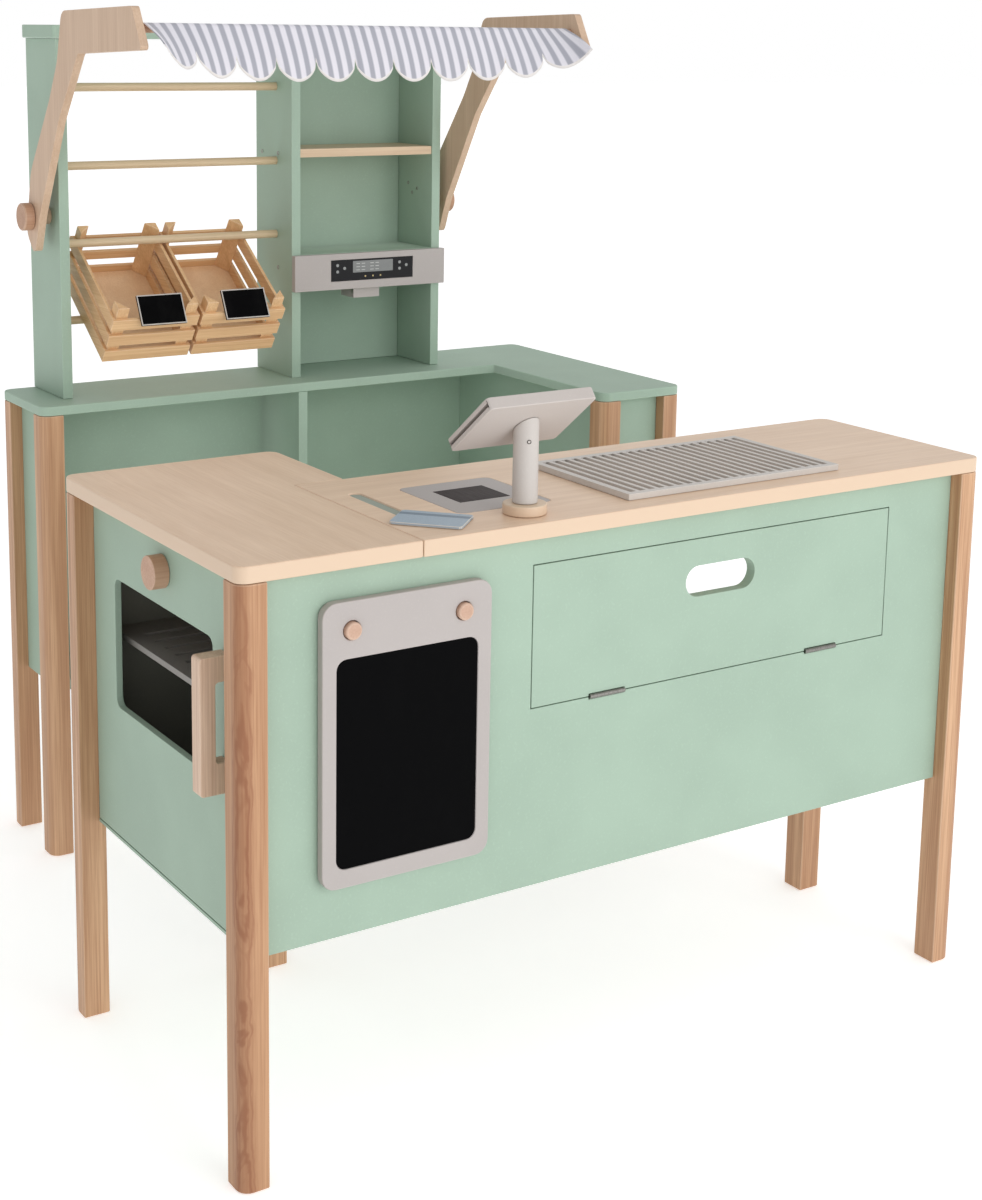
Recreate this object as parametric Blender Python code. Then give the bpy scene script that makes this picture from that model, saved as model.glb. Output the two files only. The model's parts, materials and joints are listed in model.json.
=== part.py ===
"""Toy kitchen and shop: a front counter and a back counter, each an L, that ring the child between them."""

import math

import bmesh
import bpy
from mathutils import Matrix, Vector

# Middle of the whole object's footprint, seen from the front counter's near left corner.
MIDDLE_X, MIDDLE_Y = 0.42125, 0.43285
GAP = 0.0003

# Front counter
FRONT_TOP_Z, FRONT_TOP_T = 0.550, 0.015
FRONT_LENGTH, WING_LENGTH, RUN_DEPTH, WING_WIDTH = 0.845, 0.377, 0.232, 0.227
BOARD_JOINT_X, BOARD_JOINT_Y, BOARD_JOINT = 0.174, 0.2328, 0.0006
LEG, LEG_ROUND = 0.027, 0.012
INSET, PANEL_T, PANEL_Z = 0.0145, 0.012, 0.2045

# Serving flap in the front panel
FLAP_X0, FLAP_X1, FLAP_Z0, FLAP_Z1, FLAP_GAP = 0.2985, 0.7310, 0.3748, 0.5070, 0.0010
FINGER_X0, FINGER_X1, FINGER_Z0, FINGER_Z1 = 0.4725, 0.5570, 0.4510, 0.4810
FLAP_HINGE_X, FLAP_HINGE_HALF, FLAP_BARREL_R = (0.3830, 0.6465), 0.0200, 0.0024
FLAP_PIVOT_Y, FLAP_PIVOT_Z = 0.0145, 0.3743

# Menu board on two pegs
MENU_X0, MENU_X1, MENU_Z0, MENU_Z1 = 0.0795, 0.2475, 0.2530, 0.5060
MENU_Y, MENU_T = 0.0045, 0.0090
CHALK_MARGIN, CHALK_Z0, CHALK_Z1, CHALK_DEEP = 0.0140, 0.2700, 0.4555, 0.0020
PEG_X, PEG_Z, PEG_R, PEG_OUT = (0.1078, 0.2188), 0.4805, 0.0078, 0.0040

# Oven in the wing of the front counter
DOOR_X, DOOR_T, DOOR_Y0, DOOR_Y1, DOOR_Z0, DOOR_Z1 = 0.0195, 0.007, 0.0282, 0.3490, 0.2085, 0.5335
WINDOW_Y0, WINDOW_Y1, WINDOW_Z0, WINDOW_Z1, WINDOW_R = 0.0885, 0.3005, 0.3390, 0.4645, 0.009
KNOB_Y, KNOB_Z, KNOB_R, KNOB_T = 0.1886, 0.4988, 0.0155, 0.0145
HANDLE_X0, HANDLE_Y0, HANDLE_T, HANDLE_Z0, HANDLE_Z1 = -0.0085, 0.0550, 0.016, 0.3385, 0.4600
SLOT_X0, SLOT_Z0, SLOT_Z1 = 0.0062, 0.3660, 0.4370
OVEN_SIDE_X, RACK_Z, RACK_T, RACK_X0 = 0.2005, 0.3945, 0.006, 0.0375
RACK_SLOTS, RACK_PITCH, RACK_SLOT_Y = 12, 0.0235, 0.0528
RACK_SLOT, RACK_SLOT_X0, RACK_SLOT_X1 = 0.006, 0.054, 0.188

# Things on the front worktop
DISC_X, DISC_Y, DISC_R, DISC_T, POST_R = 0.302, 0.0365, 0.0200, 0.0095, 0.0115
HEAD_W, HEAD_L, HEAD_T, HEAD_TILT = 0.113, 0.080, 0.0115, math.radians(38)
HEAD_MID = Vector((0.2995, 0.0400, 0.6350))
PLATE_X0, PLATE_X1, PLATE_Y0, PLATE_Y1, PLATE_T = 0.250, 0.352, 0.062, 0.172, 0.003
GLASS_X0, GLASS_X1, GLASS_Y0, GLASS_Y1, GLASS_T = 0.273, 0.328, 0.097, 0.1455, 0.0014
CARD_L, CARD_W, CARD_T = 0.066, 0.045, 0.0026
CARD_MID, CARD_TURN = Vector((0.2139, 0.0518, 0.0)), math.radians(-47)
GROOVE_X, GROOVE_Y0, GROOVE_Y1, GROOVE_W, GROOVE_DEEP = 0.2055, 0.0450, 0.1770, 0.0130, 0.0022
GRATE_X0, GRATE_X1, GRATE_Y0, GRATE_Y1 = 0.411, 0.671, 0.026, 0.182
GRATE_T, GRATE_SLOTS = 0.006, 22

# Back counter
BACK_TOP_Z, BACK_TOP_T = 0.545, 0.011
BACK_X0, BACK_X1, BACK_Y0, BACK_Y1 = 0.1105, 0.8510, 0.7265, 0.8585
BACK_WING_X, BACK_WING_Y = 0.7310, 0.4900
BACK_FLOOR_T, DIVIDER_X = 0.012, 0.4425

# Rod rack and tower on the back counter
UPRIGHT_T, UPRIGHT_Y0, UPRIGHT_TOP = 0.012, 0.7635, 0.9592
POST_X, TOWER_X0, TOWER_X1 = 0.1515, 0.4520, 0.6665
ROOF_OVER, ROOF_T = 0.004, 0.0150
ROD_Y, ROD_R, ROD_IN, ROD_Z = 0.806, 0.005, 0.006, (0.9035, 0.8126, 0.7216, 0.6306)
WOOD_SHELF_Z, GREEN_SHELF_Z, SHELF_T = 0.8180, 0.6880, 0.0105
CONTROL_Z0, CONTROL_Z1, CONTROL_T, CONTROL_OVER = 0.6532, 0.6980, 0.0083, 0.0025
DISPLAY_X0, DISPLAY_X1, DISPLAY_Z0, DISPLAY_Z1, DISPLAY_T = 0.5030, 0.6215, 0.6637, 0.6900, 0.002
SPOUT_X0, SPOUT_X1, SPOUT_Z0 = 0.5385, 0.5760, 0.6405

# Crates: they hang behind the third rod and rest on the fourth
CRATE_X, CRATE_W, CRATE_D = (0.1900, 0.3025), 0.1085, 0.1550
CRATE_TILT, CRATE_POST, CRATE_CORNER = math.radians(35), 0.079, 0.015
SLAT_H, SLAT_PITCH, SLAT_T, CRATE_FLOOR = 0.016, 0.024, 0.004, 0.003
LABEL_X, LABEL_W, LABEL_H, LABEL_T, LABEL_LEAN = (0.2505, 0.3580), 0.0565, 0.0367, 0.003, math.radians(27)

# Awning: two arms, a rod between them and a scalloped cloth
ARM_X, ARM_T, ARM_STANDOFF = (0.1300, 0.6790), 0.009, 0.0122
ARM_PIVOT_Y, ARM_PIVOT_Z = 0.7960, 0.7565
AWNING_ROD_Y, AWNING_ROD_Z, AWNING_ROD_R = 0.5050, 0.9715, 0.0045
CLAMP_R, CLAMP_T, CLAMP_SHANK = 0.0160, 0.0125, 0.0040
CLOTH_T, SCALLOPS, SCALLOP_DEEP, CLOTH_DROP, CLOTH_SHY = 0.0011, 11, 0.0240, 0.0590, 0.0070
CLOTH_FORWARD, CLOTH_END_LIFT = 0.0200, 0.0350

# Colour, roughness and metallic of each finish
FINISHES = {
    "sage": ((0.38, 0.54, 0.44), 0.55, 0.0),
    "birch": ((0.72, 0.54, 0.37), 0.45, 0.0),
    "pine": ((0.64, 0.42, 0.23), 0.50, 0.0),
    "beech": ((0.62, 0.43, 0.28), 0.50, 0.0),
    "grey": ((0.47, 0.43, 0.40), 0.50, 0.0),
    "light grey": ((0.58, 0.55, 0.51), 0.50, 0.0),
    "chalk black": ((0.012, 0.012, 0.013), 0.90, 0.0),
    "display black": ((0.020, 0.020, 0.024), 0.12, 0.0),
    "card": ((0.30, 0.40, 0.46), 0.45, 0.0),
    "steel": ((0.55, 0.55, 0.54), 0.30, 1.0),
    "cloth": ((0.78, 0.78, 0.80), 0.95, 0.0),
}
FRONT_AT = ("near_left", "back_left", "wing_right", "near_right", "back_right")
BACK_AT = ("near_left", "far_left", "wing_left", "wing_right", "far_right")
SAGE = [
    "front_panel",
    "front_end_panel",
    "oven_carcass",
    "oven_door",
    "serving_flap",
    "back_worktop",
    "back_carcass",
    "back_wing_inner_panel",
    "back_wing_front_panel",
    "back_wing_outer_panel",
    "post_board",
    "tower_left_board",
    "tower_right_board",
    "tower_back",
    "roof_board",
]
BEECH = [
    "oven_knob",
    "oven_handle",
    "menu_peg_left",
    "menu_peg_right",
    *(f"rack_rod_{i}" for i in range(1, 5)),
    "awning_arm_left",
    "awning_arm_right",
    "awning_clamp_left",
    "awning_clamp_right",
    "awning_rod",
    "tower_wood_shelf",
]


def box_outline(a0, a1, b0, b1, radii=(0, 0, 0, 0), steps=5):
    """Corner points counterclockwise from (a0, b0), each corner rounded by its radius."""
    corners = [(a0, b0), (a1, b0), (a1, b1), (a0, b1)]
    return rounded(corners, radii, steps)


def rounded(corners, radii, steps=5):
    points = []
    for i, corner in enumerate(corners):
        here = Vector(corner)
        if not radii[i]:
            points.append(here)
            continue
        before = (Vector(corners[i - 1]) - here).normalized()
        after = (Vector(corners[(i + 1) % len(corners)]) - here).normalized()
        half = before.angle(after) / 2
        middle = here + (before + after).normalized() * radii[i] / math.sin(half)
        start = here + before * radii[i] / math.tan(half) - middle
        turn = math.pi - 2 * half
        if before.x * after.y - before.y * after.x > 0:
            turn = -turn
        for k in range(steps + 1):
            points.append(middle + Matrix.Rotation(turn * k / steps, 2) @ start)
    return points


def circle(a, b, radius, steps=24):
    turns = [2 * math.pi * k / steps for k in range(steps)]
    return [Vector((a + radius * math.cos(turn), b + radius * math.sin(turn))) for turn in turns]


def placed(axis, a, b, along):
    """A flat point and a distance along the axis, in the object's frame."""
    return {"X": Vector((along, a, b)), "Y": Vector((a, along, b)), "Z": Vector((a, b, along))}[axis]


def as_object(bm, name):
    bmesh.ops.recalc_face_normals(bm, faces=bm.faces)
    bmesh.ops.translate(bm, verts=bm.verts, vec=(-MIDDLE_X, -MIDDLE_Y, 0))
    mesh = bpy.data.meshes.new(name)
    bm.to_mesh(mesh)
    bm.free()
    made = bpy.data.objects.new(name, mesh)
    bpy.context.scene.collection.objects.link(made)
    return made


def prism(name, axis, low, high, outline, holes=(), turned=None):
    """A solid with one flat outline, and holes through it, between two planes along an axis."""
    bm = bmesh.new()
    for loop in (outline, *holes):
        verts = [bm.verts.new(placed(axis, p[0], p[1], low)) for p in loop]
        for i, vert in enumerate(verts):
            bm.edges.new((vert, verts[(i + 1) % len(verts)]))
    if holes:
        bmesh.ops.triangle_fill(bm, use_beauty=True, use_dissolve=False, edges=bm.edges[:])
    else:
        bm.faces.new(bm.verts[:])
    top = bmesh.ops.extrude_face_region(bm, geom=bm.faces[:])["geom"]
    lift = placed(axis, 0, 0, high - low)
    bmesh.ops.translate(bm, verts=[v for v in top if isinstance(v, bmesh.types.BMVert)], vec=lift)
    if turned:
        bmesh.ops.transform(bm, matrix=turned, verts=bm.verts)
    return as_object(bm, name)


def block(name, x0, x1, y0, y1, z0, z1, turned=None):
    return prism(name, "Z", z0, z1, box_outline(x0, x1, y0, y1), turned=turned)


def combine(target, others, operation):
    """Joins other solids to the target, or cuts them out of it, and removes them."""
    for other in others:
        step = target.modifiers.new(operation.lower(), "BOOLEAN")
        step.operation = operation
        step.object = other
        step.solver = "EXACT"
    bpy.context.view_layer.update()
    graph = bpy.context.evaluated_depsgraph_get()
    finished = bpy.data.meshes.new_from_object(target.evaluated_get(graph))
    target.modifiers.clear()
    target.data = finished
    for other in others:
        bpy.data.objects.remove(other)
    return target


def leg(name, x0, y0, round_at, top):
    radii = [LEG_ROUND if corner == round_at else 0 for corner in range(4)]
    return prism(name, "Z", 0, top - GAP, box_outline(x0, x0 + LEG, y0, y0 + LEG, radii))


def front_counter():
    top, under = FRONT_TOP_Z, FRONT_TOP_Z - FRONT_TOP_T
    r = LEG_ROUND
    wing = rounded(
        [
            (0, 0),
            (BOARD_JOINT_X, 0),
            (BOARD_JOINT_X, BOARD_JOINT_Y),
            (WING_WIDTH, BOARD_JOINT_Y),
            (WING_WIDTH, WING_LENGTH),
            (0, WING_LENGTH),
        ],
        (r, 0, 0, 0, r, r),
    )
    prism("front_worktop_wing", "Z", under, top, wing)
    x0 = BOARD_JOINT_X + BOARD_JOINT
    board = box_outline(x0, FRONT_LENGTH, 0, RUN_DEPTH, (0, r, r, 0))
    run = prism("front_worktop_run", "Z", under, top, board)
    plate = box_outline(PLATE_X0, PLATE_X1, PLATE_Y0, PLATE_Y1, (0.008,) * 4)
    pocket = prism("pocket", "Z", top - PLATE_T - GAP, top + 0.01, plate)
    half = GROOVE_W / 2
    groove = prism(
        "groove",
        "Z",
        top - GROOVE_DEEP,
        top + 0.01,
        box_outline(GROOVE_X - half, GROOVE_X + half, GROOVE_Y0, GROOVE_Y1, (half * 0.98,) * 4),
    )
    combine(run, [pocket, groove], "DIFFERENCE")

    leg("front_leg_near_left", 0, 0, 0, under)
    leg("front_leg_back_left", 0, WING_LENGTH - LEG, 3, under)
    leg("front_leg_wing_right", WING_WIDTH - LEG, WING_LENGTH - LEG, 2, under)
    leg("front_leg_near_right", FRONT_LENGTH - LEG, 0, 1, under)
    leg("front_leg_back_right", FRONT_LENGTH - LEG, RUN_DEPTH - LEG, 2, under)

    panel_top = under - GAP
    panel = prism(
        "front_panel",
        "Y",
        INSET,
        INSET + PANEL_T,
        box_outline(LEG + GAP, FRONT_LENGTH - LEG - GAP, PANEL_Z, panel_top),
        holes=[
            box_outline(FLAP_X0 - FLAP_GAP, FLAP_X1 + FLAP_GAP, FLAP_Z0 - FLAP_GAP, FLAP_Z1 + FLAP_GAP),
            *(circle(x, PEG_Z, PEG_R + GAP) for x in PEG_X),
        ],
    )
    combine(panel, [hinge_room(f"room_{i}", x) for i, x in enumerate(FLAP_HINGE_X)], "DIFFERENCE")

    end_x = FRONT_LENGTH - INSET
    block("front_end_panel", end_x - PANEL_T, end_x, LEG + GAP, RUN_DEPTH - LEG - GAP, PANEL_Z, panel_top)


def hinge_room(name, x):
    reach = FLAP_HINGE_HALF + 0.0006
    r = FLAP_BARREL_R + 0.0004
    return prism(name, "X", x - reach, x + reach, circle(FLAP_PIVOT_Y, FLAP_PIVOT_Z, r, 16))


def serving_flap():
    flap = prism(
        "serving_flap",
        "Y",
        INSET,
        INSET + PANEL_T,
        box_outline(FLAP_X0, FLAP_X1, FLAP_Z0, FLAP_Z1),
        holes=[box_outline(FINGER_X0, FINGER_X1, FINGER_Z0, FINGER_Z1, (0.0149,) * 4, 7)],
    )
    combine(flap, [hinge_room(f"room_{i}", x) for i, x in enumerate(FLAP_HINGE_X)], "DIFFERENCE")
    for side, x in zip(("left", "right"), FLAP_HINGE_X):
        prism(
            f"flap_hinge_{side}",
            "X",
            x - FLAP_HINGE_HALF,
            x + FLAP_HINGE_HALF,
            circle(FLAP_PIVOT_Y, FLAP_PIVOT_Z, FLAP_BARREL_R, 16),
        )


def menu_board():
    board = prism(
        "menu_board",
        "Y",
        MENU_Y,
        MENU_Y + MENU_T,
        box_outline(MENU_X0, MENU_X1, MENU_Z0, MENU_Z1, (0.0135,) * 4),
        holes=[circle(x, PEG_Z, PEG_R + 0.0006) for x in PEG_X],
    )
    x0, x1 = MENU_X0 + CHALK_MARGIN, MENU_X1 - CHALK_MARGIN
    back = MENU_Y + CHALK_DEEP
    room = box_outline(x0 - GAP, x1 + GAP, CHALK_Z0 - GAP, CHALK_Z1 + GAP, (0.0093,) * 4)
    recess = prism("recess", "Y", MENU_Y - 0.01, back + GAP, room)
    combine(board, [recess], "DIFFERENCE")
    chalk = box_outline(x0, x1, CHALK_Z0, CHALK_Z1, (0.009,) * 4)
    prism("menu_chalk_panel", "Y", MENU_Y + 0.0006, back, chalk)
    for side, x in zip(("left", "right"), PEG_X):
        prism(f"menu_peg_{side}", "Y", MENU_Y - PEG_OUT, INSET + PANEL_T - 0.001, circle(x, PEG_Z, PEG_R))


def oven():
    y0, y1 = LEG + GAP, WING_LENGTH - INSET
    inner = WING_LENGTH - LEG - GAP
    side_x1 = OVEN_SIDE_X + PANEL_T
    top = FRONT_TOP_Z - FRONT_TOP_T - GAP
    lip = DOOR_Z0 - 0.001
    floor = prism(
        "oven_carcass",
        "Y",
        y0,
        inner,
        [
            (DOOR_X, PANEL_Z),
            (side_x1, PANEL_Z),
            (side_x1, top),
            (OVEN_SIDE_X, top),
            (OVEN_SIDE_X, PANEL_Z + PANEL_T),
            (DOOR_X + DOOR_T + 0.001, PANEL_Z + PANEL_T),
            (DOOR_X + DOOR_T + 0.001, lip),
            (DOOR_X, lip),
        ],
    )
    x0, x1 = LEG + GAP, WING_WIDTH - LEG - GAP
    tab = block("tab", x0, x1, inner - 0.01, y1, PANEL_Z, PANEL_Z + PANEL_T)
    back = block("back", x0, x1, y1 - PANEL_T, y1, PANEL_Z, top)
    combine(floor, [tab, back], "UNION")

    slot_y = [RACK_SLOT_Y + RACK_PITCH * k for k in range(RACK_SLOTS)]
    half = RACK_SLOT / 2
    prism(
        "oven_rack",
        "Z",
        RACK_Z,
        RACK_Z + RACK_T,
        box_outline(RACK_X0, OVEN_SIDE_X - GAP, y0 + GAP, inner - GAP),
        holes=[box_outline(RACK_SLOT_X0, RACK_SLOT_X1, y - half, y + half) for y in slot_y],
    )

    prism(
        "oven_door",
        "X",
        DOOR_X,
        DOOR_X + DOOR_T,
        box_outline(DOOR_Y0, DOOR_Y1, DOOR_Z0, DOOR_Z1),
        holes=[
            box_outline(WINDOW_Y0, WINDOW_Y1, WINDOW_Z0, WINDOW_Z1, (WINDOW_R,) * 4),
            circle(KNOB_Y, KNOB_Z, 0.0034, 12),
        ],
    )
    knob = prism("oven_knob", "X", DOOR_X - KNOB_T - GAP, DOOR_X - GAP, circle(KNOB_Y, KNOB_Z, KNOB_R, 32))
    spigot = prism("spigot", "X", DOOR_X - 0.004, DOOR_X + DOOR_T - 0.001, circle(KNOB_Y, KNOB_Z, 0.0030, 12))
    combine(knob, [spigot], "UNION")
    foot = DOOR_X - GAP
    bridge = rounded(
        [
            (HANDLE_X0, HANDLE_Z0),
            (foot, HANDLE_Z0),
            (foot, SLOT_Z0),
            (SLOT_X0, SLOT_Z0),
            (SLOT_X0, SLOT_Z1),
            (foot, SLOT_Z1),
            (foot, HANDLE_Z1),
            (HANDLE_X0, HANDLE_Z1),
        ],
        (0.003, 0, 0, 0.003, 0.003, 0, 0, 0.003),
        3,
    )
    prism("oven_handle", "Y", HANDLE_Y0, HANDLE_Y0 + HANDLE_T, bridge)


def worktop_things():
    top = FRONT_TOP_Z + GAP
    bore = 0.0054
    base = prism("pos_base", "Z", top, top + DISC_T, circle(DISC_X, DISC_Y, DISC_R, 32))
    socket = prism("socket", "Z", top + 0.002, top + DISC_T + 0.01, circle(DISC_X, DISC_Y, bore, 16))
    combine(base, [socket], "DIFFERENCE")

    turn = Matrix.Translation(HEAD_MID) @ Matrix.Rotation(-HEAD_TILT, 4, "X")
    half_w, half_l, half_t = HEAD_W / 2, HEAD_L / 2, HEAD_T / 2
    post = prism("pos_post", "Z", top + DISC_T + GAP, HEAD_MID.z + 0.03, circle(DISC_X, DISC_Y, POST_R))
    above = block("above", -0.08, 0.08, -0.09, 0.09, -half_t - GAP, 0.08, turned=turn)
    combine(post, [above], "DIFFERENCE")
    pin = circle(DISC_X, DISC_Y, bore - 0.0004, 16)
    spigot = prism("spigot", "Z", top + 0.0024, top + DISC_T + 0.004, pin)
    combine(post, [spigot], "UNION")

    head = prism(
        "pos_head",
        "Z",
        -half_t,
        half_t,
        box_outline(-half_w, half_w, -half_l, half_l, (0.004,) * 4, 3),
        turned=turn,
    )
    slot_l, view_w, view_l = half_l - 0.003, half_w - 0.010, half_l - 0.010
    slot = block("slot", -half_w - 0.01, half_w - 0.030, -slot_l, slot_l, -0.0016, 0.0016, turned=turn)
    screen = block("screen", -view_w, view_w, -view_l, view_l, half_t - 0.0012, 0.03, turned=turn)
    combine(head, [slot, screen], "DIFFERENCE")

    level = FRONT_TOP_Z
    plate = prism(
        "scanner_plate",
        "Z",
        level - PLATE_T,
        level,
        box_outline(PLATE_X0 + GAP, PLATE_X1 - GAP, PLATE_Y0 + GAP, PLATE_Y1 - GAP, (0.0077,) * 4),
    )
    room = block("room", GLASS_X0, GLASS_X1, GLASS_Y0, GLASS_Y1, level - GLASS_T - GAP, level + 0.01)
    combine(plate, [room], "DIFFERENCE")
    glass = box_outline(GLASS_X0 + GAP, GLASS_X1 - GAP, GLASS_Y0 + GAP, GLASS_Y1 - GAP)
    prism("scanner_glass", "Z", level - GLASS_T, level, glass)

    turn = Matrix.Translation(CARD_MID) @ Matrix.Rotation(CARD_TURN, 4, "Z")
    prism(
        "payment_card",
        "Z",
        top,
        top + CARD_T,
        box_outline(-CARD_L / 2, CARD_L / 2, -CARD_W / 2, CARD_W / 2, (0.004,) * 4, 3),
        turned=turn,
    )

    rim_x, rim_y = 0.005, 0.008
    pitch = (GRATE_X1 - GRATE_X0 - 2 * rim_x) / GRATE_SLOTS
    prism(
        "serving_grate",
        "Z",
        top,
        top + GRATE_T,
        box_outline(GRATE_X0, GRATE_X1, GRATE_Y0, GRATE_Y1),
        holes=[
            box_outline(
                GRATE_X0 + rim_x + pitch * (k + 0.2),
                GRATE_X0 + rim_x + pitch * (k + 0.8),
                GRATE_Y0 + rim_y,
                GRATE_Y1 - rim_y,
            )
            for k in range(GRATE_SLOTS)
        ],
    )


def back_counter():
    top, under = BACK_TOP_Z, BACK_TOP_Z - BACK_TOP_T
    x0, x1, y0, y1, wx, wy = BACK_X0, BACK_X1, BACK_Y0, BACK_Y1, BACK_WING_X, BACK_WING_Y
    r = LEG_ROUND
    outline = rounded([(x0, y0), (wx, y0), (wx, wy), (x1, wy), (x1, y1), (x0, y1)], (r, 0, r, r, r, r))
    prism("back_worktop", "Z", under, top, outline)
    leg("back_leg_near_left", x0, y0, 0, under)
    leg("back_leg_far_left", x0, y1 - LEG, 3, under)
    leg("back_leg_wing_left", wx, wy, 0, under)
    leg("back_leg_wing_right", x1 - LEG, wy, 1, under)
    leg("back_leg_far_right", x1 - LEG, y1 - LEG, 2, under)

    z1 = under - GAP
    back_y0, back_y1 = y1 - INSET - PANEL_T, y1 - INSET
    inner_x0 = wx + INSET
    floor_z1 = PANEL_Z + BACK_FLOOR_T
    carcass = block("back_carcass", x0 + LEG + GAP, x1 - LEG - GAP, back_y0, back_y1, PANEL_Z, z1)
    floor = block("floor", x0 + LEG + GAP, inner_x0 - GAP, y0 + 0.001, back_y0 + 0.004, PANEL_Z, floor_z1)
    divider = block("divider", DIVIDER_X, DIVIDER_X + PANEL_T, y0 + 0.001, back_y0 + 0.004, PANEL_Z, z1)
    side_x = x0 + INSET
    low, high = y0 + LEG + GAP, y1 - LEG - GAP
    side = block("side", side_x, side_x + PANEL_T, low, high, PANEL_Z, z1)
    tab = block("tab", side_x + 0.004, x0 + LEG + 0.004, low + 0.001, high - 0.001, PANEL_Z, floor_z1)
    combine(carcass, [floor, divider, side, tab], "UNION")
    block("back_wing_inner_panel", inner_x0, inner_x0 + PANEL_T, wy + LEG + GAP, back_y0 - GAP, PANEL_Z, z1)
    wing_x0, wing_x1, wing_y = wx + LEG + GAP, x1 - LEG - GAP, wy + INSET
    block("back_wing_front_panel", wing_x0, wing_x1, wing_y, wing_y + PANEL_T, PANEL_Z, z1)
    right_x = x1 - INSET
    block("back_wing_outer_panel", right_x - PANEL_T, right_x, wy + LEG + GAP, y1 - LEG - GAP, PANEL_Z, z1)


def rod_rack_and_tower():
    z0 = BACK_TOP_Z + GAP
    y0, y1, t = UPRIGHT_Y0, BACK_Y1, UPRIGHT_T
    post_in, tower_in = POST_X + t, TOWER_X0 + t

    def upright(name, x, bored):
        board = block(name, x, x + t, y0, y1, z0, UPRIGHT_TOP)
        rounds = [circle(ROD_Y, z, ROD_R + GAP, 16) for z in ROD_Z]
        bores = [prism(f"bore_{i}", "X", bored[0], bored[1], outline) for i, outline in enumerate(rounds)]
        return combine(board, bores, "DIFFERENCE")

    upright("post_board", POST_X, (post_in - ROD_IN - GAP, post_in + 0.01))
    upright("tower_left_board", TOWER_X0, (TOWER_X0 - 0.01, TOWER_X0 + ROD_IN + GAP))
    right_x = TOWER_X1 - t
    block("tower_right_board", right_x, TOWER_X1, y0, y1, z0, UPRIGHT_TOP)
    for i, z in enumerate(ROD_Z, 1):
        prism(f"rack_rod_{i}", "X", post_in - ROD_IN, TOWER_X0 + ROD_IN, circle(ROD_Y, z, ROD_R, 16))

    inner_x0, inner_x1 = tower_in + GAP, right_x - GAP
    back = block("tower_back", inner_x0, inner_x1, y1 - t, y1, z0, UPRIGHT_TOP)
    green = block("green", inner_x0, inner_x1, y0, y1 - t + 0.004, GREEN_SHELF_Z, GREEN_SHELF_Z + SHELF_T)
    combine(back, [green], "UNION")
    wood_z1 = WOOD_SHELF_Z + SHELF_T
    block("tower_wood_shelf", inner_x0, inner_x1, y0 + 0.0015, y1 - t - GAP, WOOD_SHELF_Z, wood_z1)
    over = ROOF_OVER
    roof = box_outline(POST_X - over, TOWER_X1 + over, y0 - over, y1 + over, (0.005,) * 4, 3)
    prism("roof_board", "Z", UPRIGHT_TOP + GAP, UPRIGHT_TOP + GAP + ROOF_T, roof)

    face = y0 - GAP - CONTROL_T
    end = TOWER_X1 + CONTROL_OVER
    control = block("control_panel", TOWER_X0, end, face, y0 - GAP, CONTROL_Z0, CONTROL_Z1)
    neck_z1 = CONTROL_Z0 + 0.012
    neck = block("neck", SPOUT_X0, SPOUT_X1, y0 - 0.006, y0 + 0.030, CONTROL_Z0 - 0.0005, neck_z1)
    spout = block("spout", SPOUT_X0, SPOUT_X1, y0 - 0.002, y0 + 0.030, SPOUT_Z0, CONTROL_Z0 + 0.004)
    combine(control, [neck, spout], "UNION")
    recess = block(
        "recess",
        DISPLAY_X0 - GAP,
        DISPLAY_X1 + GAP,
        face - 0.01,
        face + DISPLAY_T + GAP,
        DISPLAY_Z0 - GAP,
        DISPLAY_Z1 + GAP,
    )
    combine(control, [recess], "DIFFERENCE")
    block("control_display", DISPLAY_X0, DISPLAY_X1, face + GAP, face + DISPLAY_T, DISPLAY_Z0, DISPLAY_Z1)


def crate_frame():
    """Crate coordinates: across, forward from the rear wall and up from the floor, as the object's frame."""
    side_top = 2 * SLAT_PITCH + SLAT_H
    rod_forward = SLAT_T + CRATE_CORNER + ROD_R + GAP
    rod_up = side_top + ROD_R + GAP
    forward = Vector((0, -math.cos(CRATE_TILT), -math.sin(CRATE_TILT)))
    up = Vector((0, -math.sin(CRATE_TILT), math.cos(CRATE_TILT)))
    corner = Vector((0, ROD_Y, ROD_Z[2])) - forward * rod_forward - up * rod_up
    axes = Matrix((Vector((1, 0, 0)), forward, up)).transposed().to_4x4()
    return Matrix.Translation(corner) @ axes


def crate(name, x0):
    frame = crate_frame() @ Matrix.Translation((x0, 0, 0))
    w, d, t, c = CRATE_W, CRATE_D, SLAT_T, CRATE_CORNER
    sink = 0.0008
    shy = 0.0003
    body = block(name, t / 2, w - t / 2, t / 2, d - t / 2, shy, shy + CRATE_FLOOR, turned=frame)
    pieces = []
    corners = ((t, t, 1, 1), (w - t, t, -1, 1), (t, d - t, 1, -1), (w - t, d - t, -1, -1))
    for i, (x, y, sx, sy) in enumerate(corners):
        at_x, at_y = x - sx * sink, y - sy * sink
        flat = [(at_x, at_y), (x + sx * c, at_y), (at_x, y + sy * c)]
        pieces.append(prism(f"corner_{i}", "Z", CRATE_FLOOR / 2, CRATE_POST, flat, turned=frame))
    for row in range(3):
        z0 = row * SLAT_PITCH
        z1 = z0 + SLAT_H
        pieces.append(block(f"rear_{row}", 0, w, 0, t, z0, z1, turned=frame))
        pieces.append(block(f"front_{row}", 0, w, d - t, d, z0, z1, turned=frame))
        low, high = z0 + shy / 2, z1 - shy / 2
        pieces.append(block(f"left_{row}", shy, t, t / 2, d - t / 2, low, high, turned=frame))
        pieces.append(block(f"right_{row}", w - t, w - shy, t / 2, d - t / 2, low, high, turned=frame))
    return combine(body, pieces, "UNION")


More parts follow.
